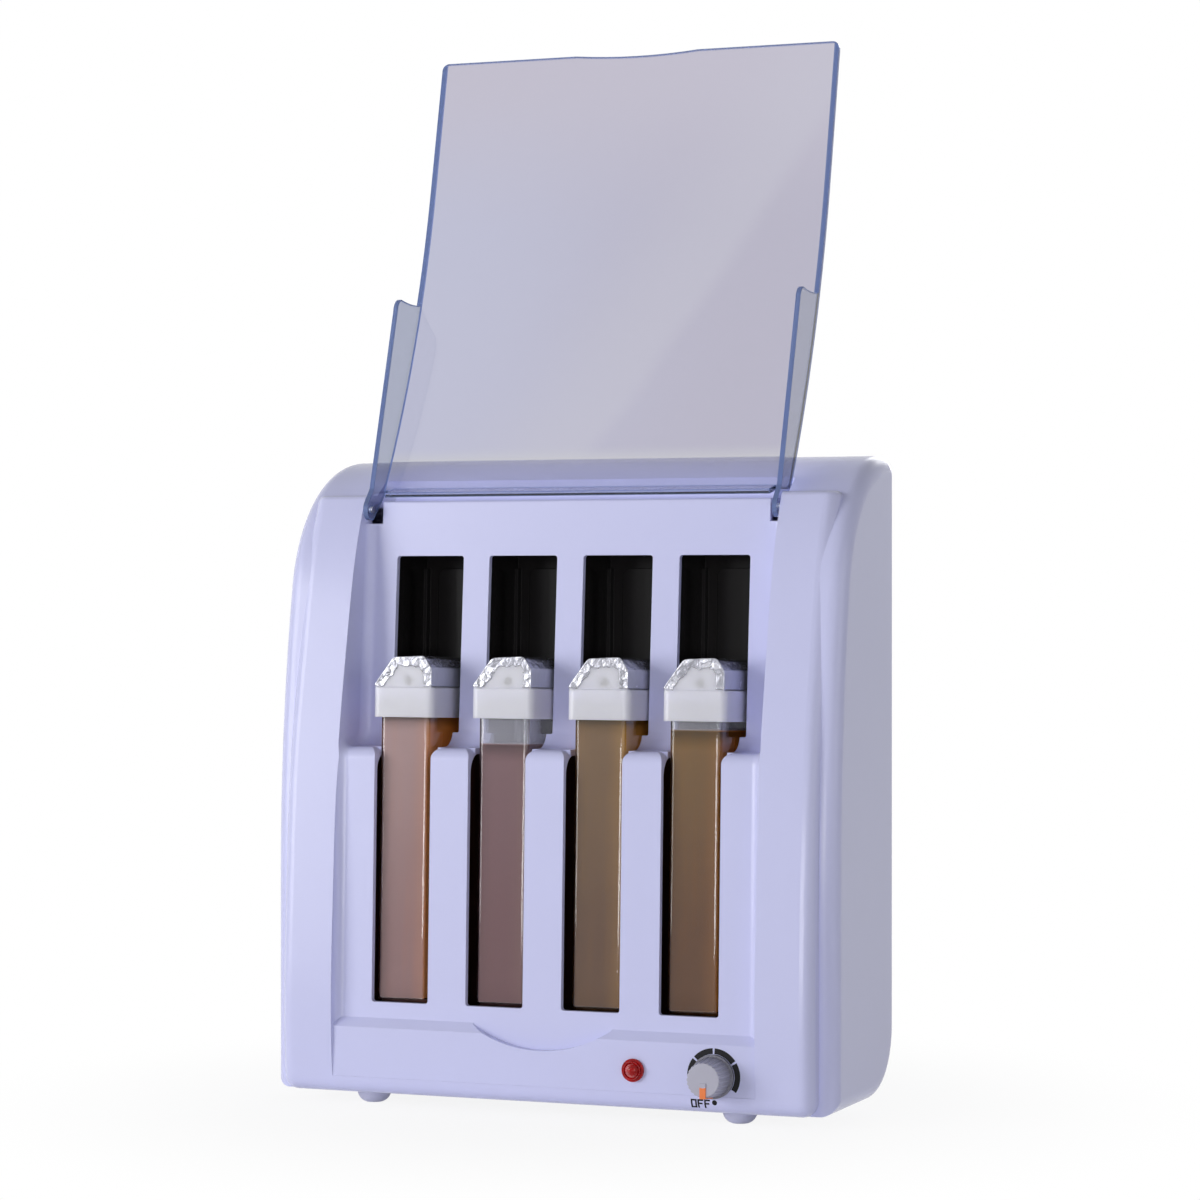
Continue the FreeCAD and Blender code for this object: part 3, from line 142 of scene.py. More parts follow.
class Finish(Graph):
    # one material; shader sockets that stay the same all over are given by name
    def __init__(self, name, **steady):
        self.material = bpy.data.materials.new(name)
        self.material.use_nodes = True
        super().__init__(self.material.node_tree)
        self.output = self.node("OutputMaterial")
        self.shader = self.node("BsdfPrincipled", {}, {k.replace("_", " "): v for k, v in steady.items()})
        self.surface(self.shader.outputs[0])
        self.place = self.out("TexCoord", {}, {}, "Object")

    def surface(self, shader):
        self.feed(self.output.inputs["Surface"], shader)

    def set(self, **sockets):
        for key, value in sockets.items():
            self.feed(self.shader.inputs[key.replace("_", " ")], value)
        return self

    def noiseAt(self, scale, detail=2.0, roughness=0.5, vector=None, distortion=0.0):
        return self.out("TexNoise", {}, {"Vector": vector or self.place, "Scale": scale, "Detail": detail,
                                         "Roughness": roughness, "Distortion": distortion})

    def stretched(self, x, y, z):
        return self.out("Mapping", {}, {"Vector": self.place, "Scale": (x, y, z)})

    def blend(self, factor, first, second):
        return self.out("Mix", {"data_type": "RGBA"}, {0: factor, 6: first, 7: second}, 2)

    def axis(self, name, source=None):
        return self.out("SeparateXYZ", {}, {0: source or self.place}, name)

    def facing(self, name):
        return self.axis(name, self.out("NewGeometry", {}, {}, "Normal"))

    def softNormal(self, radius, samples=4):
        return self.out("Bevel", {"samples": samples}, {"Radius": radius})

    def bumped(self, height, distance, edge=0.0):
        sockets = {"Height": height, "Distance": distance, "Strength": 1.0}
        if edge:
            sockets["Normal"] = self.softNormal(edge)
        return self.set(Normal=self.out("Bump", {}, sockets))

    def lampsPass(self, colour, surface=None):
        # lets lamp light through clear walls
        clear = self.node("BsdfTransparent", {}, {"Color": colour})
        isShadow = self.out("LightPath", {}, {}, "Is Shadow Ray")
        self.surface(self.mixed(isShadow, surface or self.shader.outputs[0], clear.outputs[0]))


moulding = {"ior": 1.52, "cloud": (14.0, 3.0), "streakDetail": 3.0, "streakShade": 0.8, "metalEdge": 0.0001}


def plastic(name, colour, rough=0.3, spread=0.05, grain=900.0, depth=0.00001, edge=0.0004, shade=0.03,
            **steady):
    # grain and depth are for the fine bumps, edge for how far a corner looks rounded
    made = Finish(name, IOR=moulding["ior"], **steady)
    cloud = made.noiseAt(*moulding["cloud"])
    made.set(Base_Color=made.blend(cloud, colour, shaded(colour, 1 - shade)),
             Roughness=rough + cloud.swing(2 * spread))
    return made.bumped(made.noiseAt(grain), depth, edge)


def metal(name, colour, rough=0.3, spread=0.1, streaks=(60, 60, 900), depth=0.000006):
    made = Finish(name, Metallic=1.0)
    streak = made.noiseAt(1.0, moulding["streakDetail"], vector=made.stretched(*streaks))
    made.set(Base_Color=made.blend(streak, colour, shaded(colour, moulding["streakShade"])),
             Roughness=rough + streak.swing(2 * spread))
    return made.bumped(streak, depth, moulding["metalEdge"])


def dress(finish, *names):
    for name in names:
        slots = nodes[name].data.materials
        slots.clear()
        slots.append(finish.material)


def numbered(stem):
    return [stem + str(number) for number in slotNumbers]


# ---------- studio
studio = {
    "lens": 106.2, "sensor": 36.0, "eye": (0.5493, -1.3589, 0.2125), "yaw": 21.76, "pitch": -0.205,
    "white": (1.0, 1.0, 1.0, 1.0), "roomColour": (0.92, 0.94, 1.0, 1.0), "roomLevel": 0.10,
    "floorColour": tint(250, 250, 251), "floorShade": 0.985, "floorGrain": (40.0, 3.0), "floorRough": 0.7,
    "floorHalf": 6.0, "floorFade": (0.05, 0.28), "floorShow": 0.88,
    # name: place, aim, width, height, watts
    "lamps": {
        "keyLeft": ((-1.5, -1.5, 0.45), (0, 0, 0.15), 1.3, 1.3, 30.5),
        "fillFront": ((1.3, -1.7, 0.4), (0, 0, 0.15), 1.2, 1.0, 2.3),
        "fillRight": ((1.9, -0.3, 0.5), (0, 0, 0.15), 1.0, 1.2, 5.5),
        "lowFront": ((0.35, -2.0, 0.10), (0, 0, 0.12), 0.9, 0.20, 6.5),
        "backSoft": ((0.05, 1.9, 0.85), (0, 0, 0.2), 0.9, 1.0, 8.5),
    },
}


def makeCamera():
    camera = bpy.data.objects.new("camera", bpy.data.cameras.new("camera"))
    camera.data.lens = studio["lens"]
    camera.data.sensor_width = studio["sensor"]
    camera.location = studio["eye"]
    camera.rotation_euler = (math.radians(90 + studio["pitch"]), 0, math.radians(studio["yaw"]))
    scene.collection.objects.link(camera)
    scene.camera = camera


def makeLamps():
    for name, (spot, target, width, height, watts) in studio["lamps"].items():
        light = bpy.data.lights.new(name, "AREA")
        light.shape = "RECTANGLE"
        light.size, light.size_y = width, height
        light.energy = watts
        stand = bpy.data.objects.new(name, light)
        stand.location = spot
        stand.rotation_euler = (Vector(target) - Vector(spot)).to_track_quat("-Z", "Y").to_euler()
        scene.collection.objects.link(stand)


def makeRoom():
    # white to look at, dim and cool as light
    world = bpy.data.worlds.new("room")
    scene.world = world
    world.use_nodes = True
    room = Graph(world.node_tree)
    dim = room.out("Background", {}, {"Color": studio["roomColour"], "Strength": studio["roomLevel"]})
    white = room.out("Background", {}, {"Color": studio["white"], "Strength": 1.0})
    room.node("OutputWorld", {}, {"Surface": room.mixed(room.sight(), dim, white)})


def makeFloor():
    # keeps the shadow close to the object and melts into the backdrop further out
    finish = Finish("paleFloor", Roughness=studio["floorRough"])
    grain = finish.noiseAt(*studio["floorGrain"])
    pale = studio["floorColour"]
    finish.set(Base_Color=finish.blend(grain, pale, shaded(pale, studio["floorShade"])))
    away = finish.out("VectorMath", {"operation": "LENGTH"}, {0: finish.place}, "Value")
    fade = studio["floorShow"] + (1 - studio["floorShow"]) * away.ramp(*studio["floorFade"])
    white = finish.out("Emission", {}, {"Color": studio["white"], "Strength": 1.0})
    finish.surface(finish.mixed(finish.sight() * fade, finish.shader.outputs[0], white))
    mesh = bpy.data.meshes.new("floor")
    half = studio["floorHalf"]
    mesh.from_pydata([(-half, -half, 0), (half, -half, 0), (half, half, 0), (-half, half, 0)], [],
                     [(0, 1, 2, 3)])
    mesh.materials.append(finish.material)
    floor = bpy.data.objects.new("floor", mesh)
    scene.collection.objects.link(floor)


makeCamera()
makeLamps()
makeRoom()
makeFloor()
print("studio ready")


# ---------- housing and the parts behind it
shell = {
    "plastics": {
        "housingPlastic": (["front_shell", "rear_cover"], {
            "colour": tint(209, 211, 247), "rough": 0.235, "spread": 0.03, "grain": 1100.0,
            "depth": 0.000004, "edge": 0.00025, "shade": 0.02, "Specular_IOR_Level": 0.36}),
        "feetRubber": (["rubber_feet"], {
            "colour": tint(196, 197, 222), "rough": 0.55, "spread": 0.1, "grain": 700.0,
            "depth": 0.00002, "shade": 0.08}),
        "inletBlack": (["power_inlet"], {
            "colour": tint(24, 24, 26), "rough": 0.4, "spread": 0.08, "depth": 0.00002, "edge": 0.0003,
            "shade": 0.2}),
        "phenolic": (["thermostat"], {
            "colour": tint(62, 44, 34), "rough": 0.45, "spread": 0.1, "grain": 500.0, "depth": 0.00002,
            "edge": 0.0003, "shade": 0.2}),
        "fuseCeramic": (["thermal_fuse"], {"colour": tint(226, 222, 206), "rough": 0.35}),
        "nylon": (["terminal_block"], {"colour": tint(226, 223, 208), "rough": 0.45}),
        "siliconePad": (numbered("heater_pad_"), {
            "colour": tint(178, 84, 58), "rough": 0.6, "spread": 0.08, "grain": 1500.0,
            "depth": 0.00003, "edge": 0.0003, "shade": 0.12}),
        "wireSleeve": (["wiring"], {
            "colour": tint(206, 206, 200), "rough": 0.5, "grain": 2000.0, "depth": 0.00002,
            "edge": 0.0001, "shade": 0.05}),
        "feltMat": (["insulation_mat"], {
            "colour": tint(210, 205, 188), "rough": 0.95, "spread": 0.03, "grain": 1500.0,
            "depth": 0.0003, "edge": 0.0, "shade": 0.2, "Sheen_Weight": 0.4}),
    },
    "metals": {
        "screwSteel": (["cover_screws", "strap_screws"], {"colour": tint(190, 190, 194)}),
        "pinSteel": (["hinge_pins", "thermostat_shaft"], {"colour": tint(205, 205, 210), "rough": 0.2}),
        "strapSteel": (["chamber_strap_lower", "chamber_strap_upper"], {
            "colour": tint(178, 180, 184), "rough": 0.42, "spread": 0.15, "streaks": (200, 40, 40)}),
        "nutSteel": (["thermostat_nut", "lamp_nut"], {"colour": tint(186, 184, 176), "rough": 0.35}),
        "inletBrass": (["inlet_pins"], {"colour": tint(214, 198, 150), "rough": 0.25}),
    },
}
chamber = {
    "look": {"colour": tint(17, 14, 16), "rough": 0.22, "spread": 0.04, "grain": 500.0,
             "depth": 0.000008, "shade": 0.3, "Specular_IOR_Level": 0.16},
    # painted warm light from the wax in the bottles: brown streaks low on the walls, gone higher up
    "paintedWaxLightTone": tint(74, 42, 32), "paintedWaxLightGrain": (200, 200, 24), "paintedWaxLightDetail": 3.0, "paintedWaxLightTop": (0.14, 0.17),
    "paintedWaxLightWander": 0.02, "wanderGrain": 30.0,
}


def finishHousing():
    for name, (pieces, look) in shell["plastics"].items():
        dress(plastic(name, **look), *pieces)
    for name, (pieces, look) in shell["metals"].items():
        dress(metal(name, **look), *pieces)
    black = plastic("chamberBlack", **chamber["look"])
    # painted warm light from the wax: brown streaks low on the black walls
    height = black.axis("Z") + black.noiseAt(chamber["wanderGrain"]).swing(chamber["paintedWaxLightWander"])
    paintedWaxLightMask = black.noiseAt(1.0, chamber["paintedWaxLightDetail"], vector=black.stretched(*chamber["paintedWaxLightGrain"]))
    paintedWaxLightMask = paintedWaxLightMask * (1 - height.ramp(*chamber["paintedWaxLightTop"]))
    black.set(Base_Color=black.blend(paintedWaxLightMask, chamber["look"]["colour"], chamber["paintedWaxLightTone"]))
    dress(black, *numbered("chamber_"))
    print("housing finished")


finishHousing()


# ---------- clear lid
lid = {
    "clear": {"Transmission_Weight": 1.0, "IOR": 1.49}, "rough": 0.02, "hazeRough": 0.05,
    "haze": (9.0, 4.0, 0.6), "ripple": (11.0, 2.0, 0.4), "rippleDepth": 0.0006, "bumpEdge": 0.0003,
    # painted light: the lid's tint is lighter on the left, towards the key lamp, and changes towards its head
    "paintedLitLeftTone": tint(189, 190, 211), "paintedShadedRightTone": tint(183, 180, 197), "acrossZone": (-0.09, 0.07),
    "acrossWander": 0.03, "paintedHeadLightTone": tint(193, 189, 204), "headZone": (0.36, 0.44), "headWander": 0.02,
    # painted reflection of a window: a pale slanting band
    "paintedReflectionTone": tint(196, 195, 208), "bandSlope": 0.62, "bandFootZ": 0.26, "bandWander": 0.02,
    "bandRise": (-0.075, -0.015), "bandFall": (-0.012, 0.002), "paintedReflectionShare": 0.45,
    # painted light: neutral tones low on the lid, at the hinge and the heel, toning down the blue light seen
    # through it in front of the crown
    "paintedHingeTone": tint(200, 200, 206), "hingeZone": (0.262, 0.272),
    "paintedHeelTone": tint(200, 201, 204), "heelZone": (0.2556, 0.2564),
    # painted shade: side walls that face sideways take a darker grey tone
    "paintedWallShade": tint(172, 177, 194), "wallTurn": (0.3, 0.8),
    "edgeTone": tint(74, 100, 160), "edgeReach": 0.0011, "edgeSamples": 8, "edgeTurn": (0.005, 0.08),
    "rimFrom": 0.0891, "rimBlur": 0.0002, "rimTurn": (0.3, 0.6),
    "cutTone": tint(122, 138, 182), "cutShare": 0.68, "shadowTone": tint(225, 226, 240),
    "depthColour": (0.26, 0.44, 0.66, 1.0), "depthDensity": 9.0,
}


def finishLid():
    clear = Finish("clearLid", **lid["clear"])
    x, z = clear.axis("X"), clear.axis("Z")
    haze = clear.noiseAt(*lid["haze"])
    clear.set(Roughness=lid["rough"] + lid["hazeRough"] * haze)
    # painted light: lighter tint on the left, another tone towards the head
    across = (x + haze.swing(lid["acrossWander"])).ramp(*lid["acrossZone"])
    colour = clear.blend(across, lid["paintedLitLeftTone"], lid["paintedShadedRightTone"])
    head = (z + haze.swing(lid["headWander"])).ramp(*lid["headZone"])
    colour = clear.blend(head, colour, lid["paintedHeadLightTone"])
    # painted reflection of a window, a pale slanting band across the lid
    slant = x - (z - lid["bandFootZ"]) * lid["bandSlope"] + haze.swing(lid["bandWander"])
    paintedReflectionBand = slant.ramp(*lid["bandRise"]) * (1 - slant.ramp(*lid["bandFall"])) * lid["paintedReflectionShare"]
    colour = clear.blend(paintedReflectionBand, colour, lid["paintedReflectionTone"])
    # painted light: neutral tones at the hinge and the heel
    colour = clear.blend(z.ramp(*lid["hingeZone"]), lid["paintedHingeTone"], colour)
    colour = clear.blend(z.ramp(*lid["heelZone"]), lid["paintedHeelTone"], colour)
    # painted shade on the side walls, which face sideways
    sideways = clear.facing("X")
    colour = clear.blend((sideways * sideways).ramp(*lid["wallTurn"]), colour, lid["paintedWallShade"])
    # the cut edges of clear sheet look blue, and so do the rims of its side walls
    flat = clear.out("NewGeometry", {}, {}, "Normal")
    soft = clear.softNormal(lid["edgeReach"], lid["edgeSamples"])
    turn = 1 - clear.out("VectorMath", {"operation": "DOT_PRODUCT"}, {0: flat, 1: soft}, "Value")
    inward = clear.axis("Y", clear.out("TexCoord", {}, {}, "Normal")) * -1
    rim = (x * x).ramp(lid["rimFrom"] ** 2, (lid["rimFrom"] + lid["rimBlur"]) ** 2)
    edges = turn.ramp(*lid["edgeTurn"]).orMore(rim * inward.ramp(*lid["rimTurn"]))
    clear.set(Base_Color=clear.blend(edges, colour, lid["edgeTone"]))
    clear.bumped(clear.noiseAt(*lid["ripple"]), lid["rippleDepth"], lid["bumpEdge"])
    cut = clear.out("BsdfDiffuse", {}, {"Color": lid["cutTone"]})
    clear.lampsPass(lid["shadowTone"], clear.mixed(edges * lid["cutShare"], clear.shader.outputs[0], cut))
    depth = clear.out("VolumeAbsorption", {}, {"Color": lid["depthColour"], "Density": lid["depthDensity"]})
    clear.feed(clear.output.inputs["Volume"], depth)
    dress(clear, "lid")
    print("lid finished")


finishLid()


# ---------- mesh helpers
def newPiece(name, corners, faces, finish, body, smooth=True):
    mesh = bpy.data.meshes.new(name)
    mesh.from_pydata([tuple(c) for c in corners], [], faces)
    mesh.materials.append(finish.material)
    if smooth:
        mesh.polygons.foreach_set("use_smooth", [True] * len(mesh.polygons))
    piece = bpy.data.objects.new(name, mesh)
    scene.collection.objects.link(piece)
    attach(piece, body)
    return piece


def gridFaces(rows, columns, closed=False):
    faces = []
    for r in range(rows - 1):
        for c in range(columns if closed else columns - 1):
            d = (c + 1) % columns
            faces.append((r * columns + c, r * columns + d, (r + 1) * columns + d, (r + 1) * columns + c))
    return faces


def roundedPath(points, radii, step, cornerSteps=8, smoothing=2):
    # evenly spaced places and outward normals along an open path with rounded corners
    track = [Vector(points[0])]
    for before, corner, after, radius in zip(points, points[1:], points[2:], radii):
        before, corner, after = Vector(before), Vector(corner), Vector(after)
        inward, onward = (before - corner).normalized(), (after - corner).normalized()
        half = inward.angle(onward) / 2
        reach = radius / math.tan(half)
        centre = corner + (inward + onward).normalized() * (radius / math.sin(half))
        start, end = corner + inward * reach, corner + onward * reach
        for k in range(cornerSteps + 1):
            aside = (start - centre).lerp(end - centre, k / cornerSteps).normalized()
            track.append(centre + aside * radius)
    track.append(Vector(points[-1]))
    lengths = [0.0]
    for first, second in zip(track, track[1:]):
        lengths.append(lengths[-1] + (second - first).length)
    count = round(lengths[-1] / step) + 1
    places, normals = [], []
    k = 0
    for n in range(count):
        along = lengths[-1] * n / (count - 1)
        while k < len(track) - 2 and lengths[k + 1] < along:
            k += 1
        share = (along - lengths[k]) / max(lengths[k + 1] - lengths[k], 1e-9)
        places.append(track[k].lerp(track[k + 1], share))
        heading = (track[k + 1] - track[k]).normalized()
        normals.append(Vector((-heading.y, heading.x)))
    smooth = []
    for n in range(count):
        nearby = [normals[max(0, min(count - 1, n + d))] for d in range(-smoothing, smoothing + 1)]
        smooth.append(sum(nearby, Vector((0, 0))).normalized())
    return places, smooth


# ---------- cartridges
cartridge = {
    "middleY": 0.04549463, "lean": math.radians(2.0), "frontY": 0.0038, "footZ": 0.0428, "pitch": 0.042,
    "slotMiddle": -0.0004, "sideShift": (-0.0013, 0.0009, 0.0010, 0.0),
    "bodyHalf": 0.011, "bodyDepth": 0.046, "bodyHeight": 0.123, "bodyWall": 0.0012, "bodyCorner": 0.0022,
    "skirtFront": -0.002, "skirtDepth": 0.050, "headHalf": 0.0125, "deckTop": 0.1289, "headTop": 0.1414,
    "bottle": {"Base_Color": tint(244, 245, 248), "Transmission_Weight": 1.0, "IOR": 1.49},
    "bottleRough": 0.04, "scuffRough": 0.10, "scuffs": (60.0, 5.0, 0.7), "scuffShare": (0.45, 0.75),
    "bottleWaves": 45.0, "waveDepth": 0.0001, "bottleEdge": 0.0003, "shadowTone": tint(240, 240, 244),
    "head": {"colour": tint(226, 226, 248), "rough": 0.33, "spread": 0.08, "grain": 1300.0,
             "edge": 0.0003, "shade": 0.02, "Subsurface_Weight": 0.85, "Subsurface_Scale": 1.0,
             "Subsurface_Radius": (0.0055, 0.0055, 0.0060)},
    "roller": {"colour": tint(232, 232, 240), "rough": 0.25},
}


def place(centreX, across, depth, height):
    # from the upright cartridge to its leaning place in the slot
    lean = cartridge["lean"]
    y = depth * math.cos(lean) + height * math.sin(lean) + cartridge["frontY"] - cartridge["middleY"]
    z = -depth * math.sin(lean) + height * math.cos(lean) + cartridge["footZ"]
    return Vector((centreX + across, y, z))


def centreOf(number):
    middle = (len(slotNumbers) + 1) / 2
    shift = cartridge["sideShift"][number - 1]
    return cartridge["slotMiddle"] + (number - middle) * cartridge["pitch"] + shift


def finishCartridges():
    bottle = Finish("clearBottle", **cartridge["bottle"])
    scuffs = bottle.noiseAt(*cartridge["scuffs"]).ramp(*cartridge["scuffShare"])
    bottle.set(Roughness=cartridge["bottleRough"] + cartridge["scuffRough"] * scuffs)
    bottle.bumped(bottle.noiseAt(cartridge["bottleWaves"]), cartridge["waveDepth"], cartridge["bottleEdge"])
    bottle.lampsPass(cartridge["shadowTone"])
    dress(bottle, *numbered("bottle_"))
    dress(plastic("headPlastic", **cartridge["head"]), *numbered("head_"))
    dress(plastic("rollerPlastic", **cartridge["roller"]), *numbered("roller_"))


waxLook = {
    "drop": (0.0036, 0.0170, 0.0036, 0.0102), "contact": 0.00004, "leastRadius": 0.0003,
    # inset from the bottle's wall; height from its floor, then from the wax level in the meniscus
    "footProfile": ((0.0006, 0.0), (0.0002, 0.0001), (0.0, 0.0005)), "wallRows": 12, "wallTop": 0.0003,
    "meniscus": ((0.00015, -0.0007), (0.0006, -0.0012), (0.0014, -0.0015), (0.0035, -0.0016),
                 (0.0070, -0.0016)),
    "rippleFrom": 0.001, "rippleHeight": 0.00035, "rippleWaves": 160, "rippleSeed": 3.7,
    "filmFoot": (-0.0003, 0.0010), "filmTopGap": 0.0004,
    "steady": {"IOR": 1.45, "Specular_IOR_Level": 0.1}, "rough": 0.35, "cloudRough": 0.2,
    "cloud": (38.0, 4.0, 0.55), "cloudStretch": (1.6, 1.6, 0.5), "cloudDepth": 0.0003,
    "upright": (1.0, 3.0, 0.5), "uprightStretch": (420, 420, 18), "uprightShare": 0.3,
    "heightZone": (0.06, 0.165), "heightWander": 0.05,
    # painted light through the wax: on the right of the front, on the faces turned right and at the back
    "rightZone": (0.002, 0.0100), "rightWander": 0.004, "paintedLitRightShare": 0.22,
    "backZone": (-0.0375, -0.031), "backWander": 0.006, "paintedGlowZone": (-0.037, -0.015),
    "sideTurn": (0.3, 0.9), "levelBlur": (-0.0001, 0.0006),
    "film": (0.16, 0.26, 0.16, 0.22), "filmColour": tint(196, 196, 210), "filmLow": 0.6, "filmSwing": 0.8,
    "streaks": (1.0, 3.0, 0.6), "streakStretch": (300, 300, 30),
    "slots": ("wax_amber_brown", "wax_mauve_brown", "wax_olive_brown", "wax_gold"),
    # front colour low, front colour high, side colour (painted light through the wax), painted orange glow
    # near the back
    "colours": (
        (tint(126, 98, 97), tint(146, 122, 120), tint(188, 124, 76), tint(228, 138, 60)),
        (tint(100, 71, 74), tint(110, 84, 88), tint(128, 100, 92), tint(150, 118, 98)),
        (tint(87, 62, 45), tint(105, 82, 58), tint(174, 130, 64), tint(210, 140, 60)),
        (tint(83, 52, 28), tint(105, 78, 42), tint(158, 104, 48), tint(200, 118, 46)),
    ),
}


def waxLevel(number):
    return cartridge["bodyHeight"] - waxLook["drop"][number - 1]


def waxFinish(number):
    low, high, side, paintedGlow = waxLook["colours"][number - 1]
    wax = Finish("wax_%d" % number, **waxLook["steady"])
    x, y, z = (wax.axis(name) for name in "XYZ")
    lean = cartridge["lean"]
    fromFoot = z - cartridge["footZ"]
    up = fromFoot * math.cos(lean) + (y + (cartridge["middleY"] - cartridge["frontY"])) * math.sin(lean)
    inward = y - fromFoot * math.tan(lean)
    cloud = wax.noiseAt(*waxLook["cloud"], wax.stretched(*waxLook["cloudStretch"]))
    upright = wax.noiseAt(*waxLook["upright"], wax.stretched(*waxLook["uprightStretch"]))
    height = (z + cloud.swing(waxLook["heightWander"])).ramp(*waxLook["heightZone"])
    front = wax.blend(height, low, high)
    front = wax.blend(upright.swing(waxLook["uprightShare"]).clamped(), front, side)
    # painted light: the right of the front, the faces turned right and the back take the amber side colour
    # and orange glow, as of light through the wax
    paintedLitRight = (x - centreOf(number) + cloud.swing(waxLook["rightWander"])).ramp(*waxLook["rightZone"])
    colour = wax.blend(paintedLitRight * waxLook["paintedLitRightShare"], front, side)
    paintedGlowBack = (inward + cloud.swing(waxLook["backWander"])).ramp(*waxLook["backZone"])
    paintedGlowFlank = wax.blend(inward.ramp(*waxLook["paintedGlowZone"]), side, paintedGlow)
    sideways = wax.facing("X").ramp(*waxLook["sideTurn"])
    colour = wax.blend(sideways.orMore(paintedGlowBack), colour, paintedGlowFlank)
    below, over = waxLook["levelBlur"]
    above = up.ramp(waxLevel(number) + below, waxLevel(number) + over)
    streak = wax.noiseAt(*waxLook["streaks"], wax.stretched(*waxLook["streakStretch"]))
    film = waxLook["film"][number - 1]
    film = film * waxLook["filmLow"] + film * waxLook["filmSwing"] * streak
    wax.set(Base_Color=wax.blend(above, colour, waxLook["filmColour"]),
            Roughness=waxLook["rough"] + waxLook["cloudRough"] * cloud,
            Alpha=(1 - above) + above * film)
    return wax.bumped(cloud, waxLook["cloudDepth"])


def roundedRing(half, near, far, radius, steps=7):
    # a rounded rectangle as (across, depth) pairs
    ring = []
    for cornerX, cornerY, start in ((half - radius, near + radius, -90), (half - radius, far - radius, 0),
                                    (radius - half, far - radius, 90), (radius - half, near + radius, 180)):
        for k in range(steps):
            turn = math.radians(start + 90 * k / (steps - 1))
            ring.append((cornerX + radius * math.cos(turn), cornerY + radius * math.sin(turn)))
    return ring


def makeWax(number):
    # wax wets the wall of its bottle; a thin film of it is left on the wall above its level
    wall = cartridge["bodyWall"] - waxLook["contact"]
    half, near, far = cartridge["bodyHalf"] - wall, wall, cartridge["bodyDepth"] - wall
    radius = cartridge["bodyCorner"] - wall
    level, centre = waxLevel(number), centreOf(number)
    rows = [(inset, wall + height) for inset, height in waxLook["footProfile"]]
    start, climb = rows[-1][1], level - waxLook["wallTop"] - rows[-1][1]
    rows += [(0.0, start + climb * k / waxLook["wallRows"]) for k in range(1, waxLook["wallRows"] + 1)]
    rows += [(inset, level + height) for inset, height in waxLook["meniscus"]]
    waves, seed = waxLook["rippleWaves"], number * waxLook["rippleSeed"]
    corners = []
    for inset, height in rows:
        corner = max(radius - inset, waxLook["leastRadius"])
        for across, depth in roundedRing(half - inset, near + inset, far - inset, corner):
            ripple = 0
            if inset > waxLook["rippleFrom"]:
                wave = noise.noise(Vector((across * waves, depth * waves, seed)))
                ripple = waxLook["rippleHeight"] * wave
            corners.append(place(centre, across, depth, height + ripple))
    count = len(roundedRing(half, near, far, radius))
    faces = gridFaces(len(rows), count, True)
    faces += [tuple(reversed(range(count))), tuple(range((len(rows) - 1) * count, len(rows) * count))]
    base = len(corners)
    film = [level + height for height in waxLook["filmFoot"]]
    film.append(cartridge["bodyHeight"] - waxLook["filmTopGap"])
    for height in film:
        for across, depth in roundedRing(half, near, far, radius):
            corners.append(place(centre, across, depth, height))
    faces += [tuple(k + base for k in face) for face in gridFaces(len(film), count, True)]
    block = newPiece("wax_fill_%d" % number, corners, faces, waxFinish(number), "cartridge_%d" % number)
    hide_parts("wax_%d" % number)


finishCartridges()
for number in slotNumbers:
    makeWax(number)
print("cartridges finished")


# ---------- crumpled foil seals
foil = {
    "stand": 0.00028, "leastStand": 0.00012, "thickness": 0.00007, "step": 0.00032,
    # outline over the head from the front: foot, start and end of the left slope, cut right corner
    "footGap": 0.0003, "leftRise": 0.001, "leftHead": (-0.0044, 0.0006), "rightHead": 0.0032,
    "rightDrop": 0.005, "radii": (0.0012, 0.003, 0.0022, 0.0022),
    "frontInset": 0.0005, "backInset": 0.0006, "backStep": 0.0007, "backBunching": 1.35,
    # the part folded down over the front: wave, seed, shift and share of its wandering edge
    "fold": 0.0037, "foldRows": 14, "foldWander": 0.0013,
    "wander": ((260, 9.7, 0.0, 1.0), (900, 3.3, 5.0, 0.5)),
    "crumple": 0.00030, "foldShare": 0.6, "foldFacet": 0.0034, "foldLift": 6,
    "lipCrumple": 0.00008, "lipFacet": 0.0022, "lipSeed": 20,
    "topCrumple": 0.00011, "topShare": 0.5, "topFacet": 0.0042, "topSeed": 40, "calmReach": 0.010,
    # one crease pattern: shift per seed, then size and share of its facets, ridges and fine folds
    "seedStep": (7.3, 3.1, 5.7), "facetReach": 0.9, "facetShare": 0.55, "ridgeWave": 0.9,
    "ridgeShare": 0.35, "fineWave": 2.3, "fineShift": (4.1, 0, 0), "fineShare": 0.35,
    # painted reflections and shade: lit and dim facets, and dark painted shade in the creases
    "paintedLitFacet": tint(182, 182, 188), "paintedDimFacet": tint(112, 112, 120), "paintedCreaseShade": tint(44, 44, 52),
    # painted light on the side facing right: a pale lavender tone, less metallic
    "paintedSideLightTone": tint(196, 198, 216), "sideTurn": (0.75, 0.97), "sideDull": 0.85,
    "topTone": tint(168, 169, 178), "calmFrom": (-0.0425, -0.0365), "calmWander": 0.004, "calmShare": 0.8,
    "smear": (120.0, 4.0, 0.6), "rough": 0.13, "smearRough": 0.22,
    "wrinkle": (700.0, 4.0, 0.65), "wrinkleTwist": 1.2, "wrinkleDepth": 0.00006,
    "warpGrain": 260.0, "warp": 0.0022, "facets": 330.0, "facetTones": (0.25, 0.8),
    "paintedCreaseWidth": (0.015, 0.07),
}


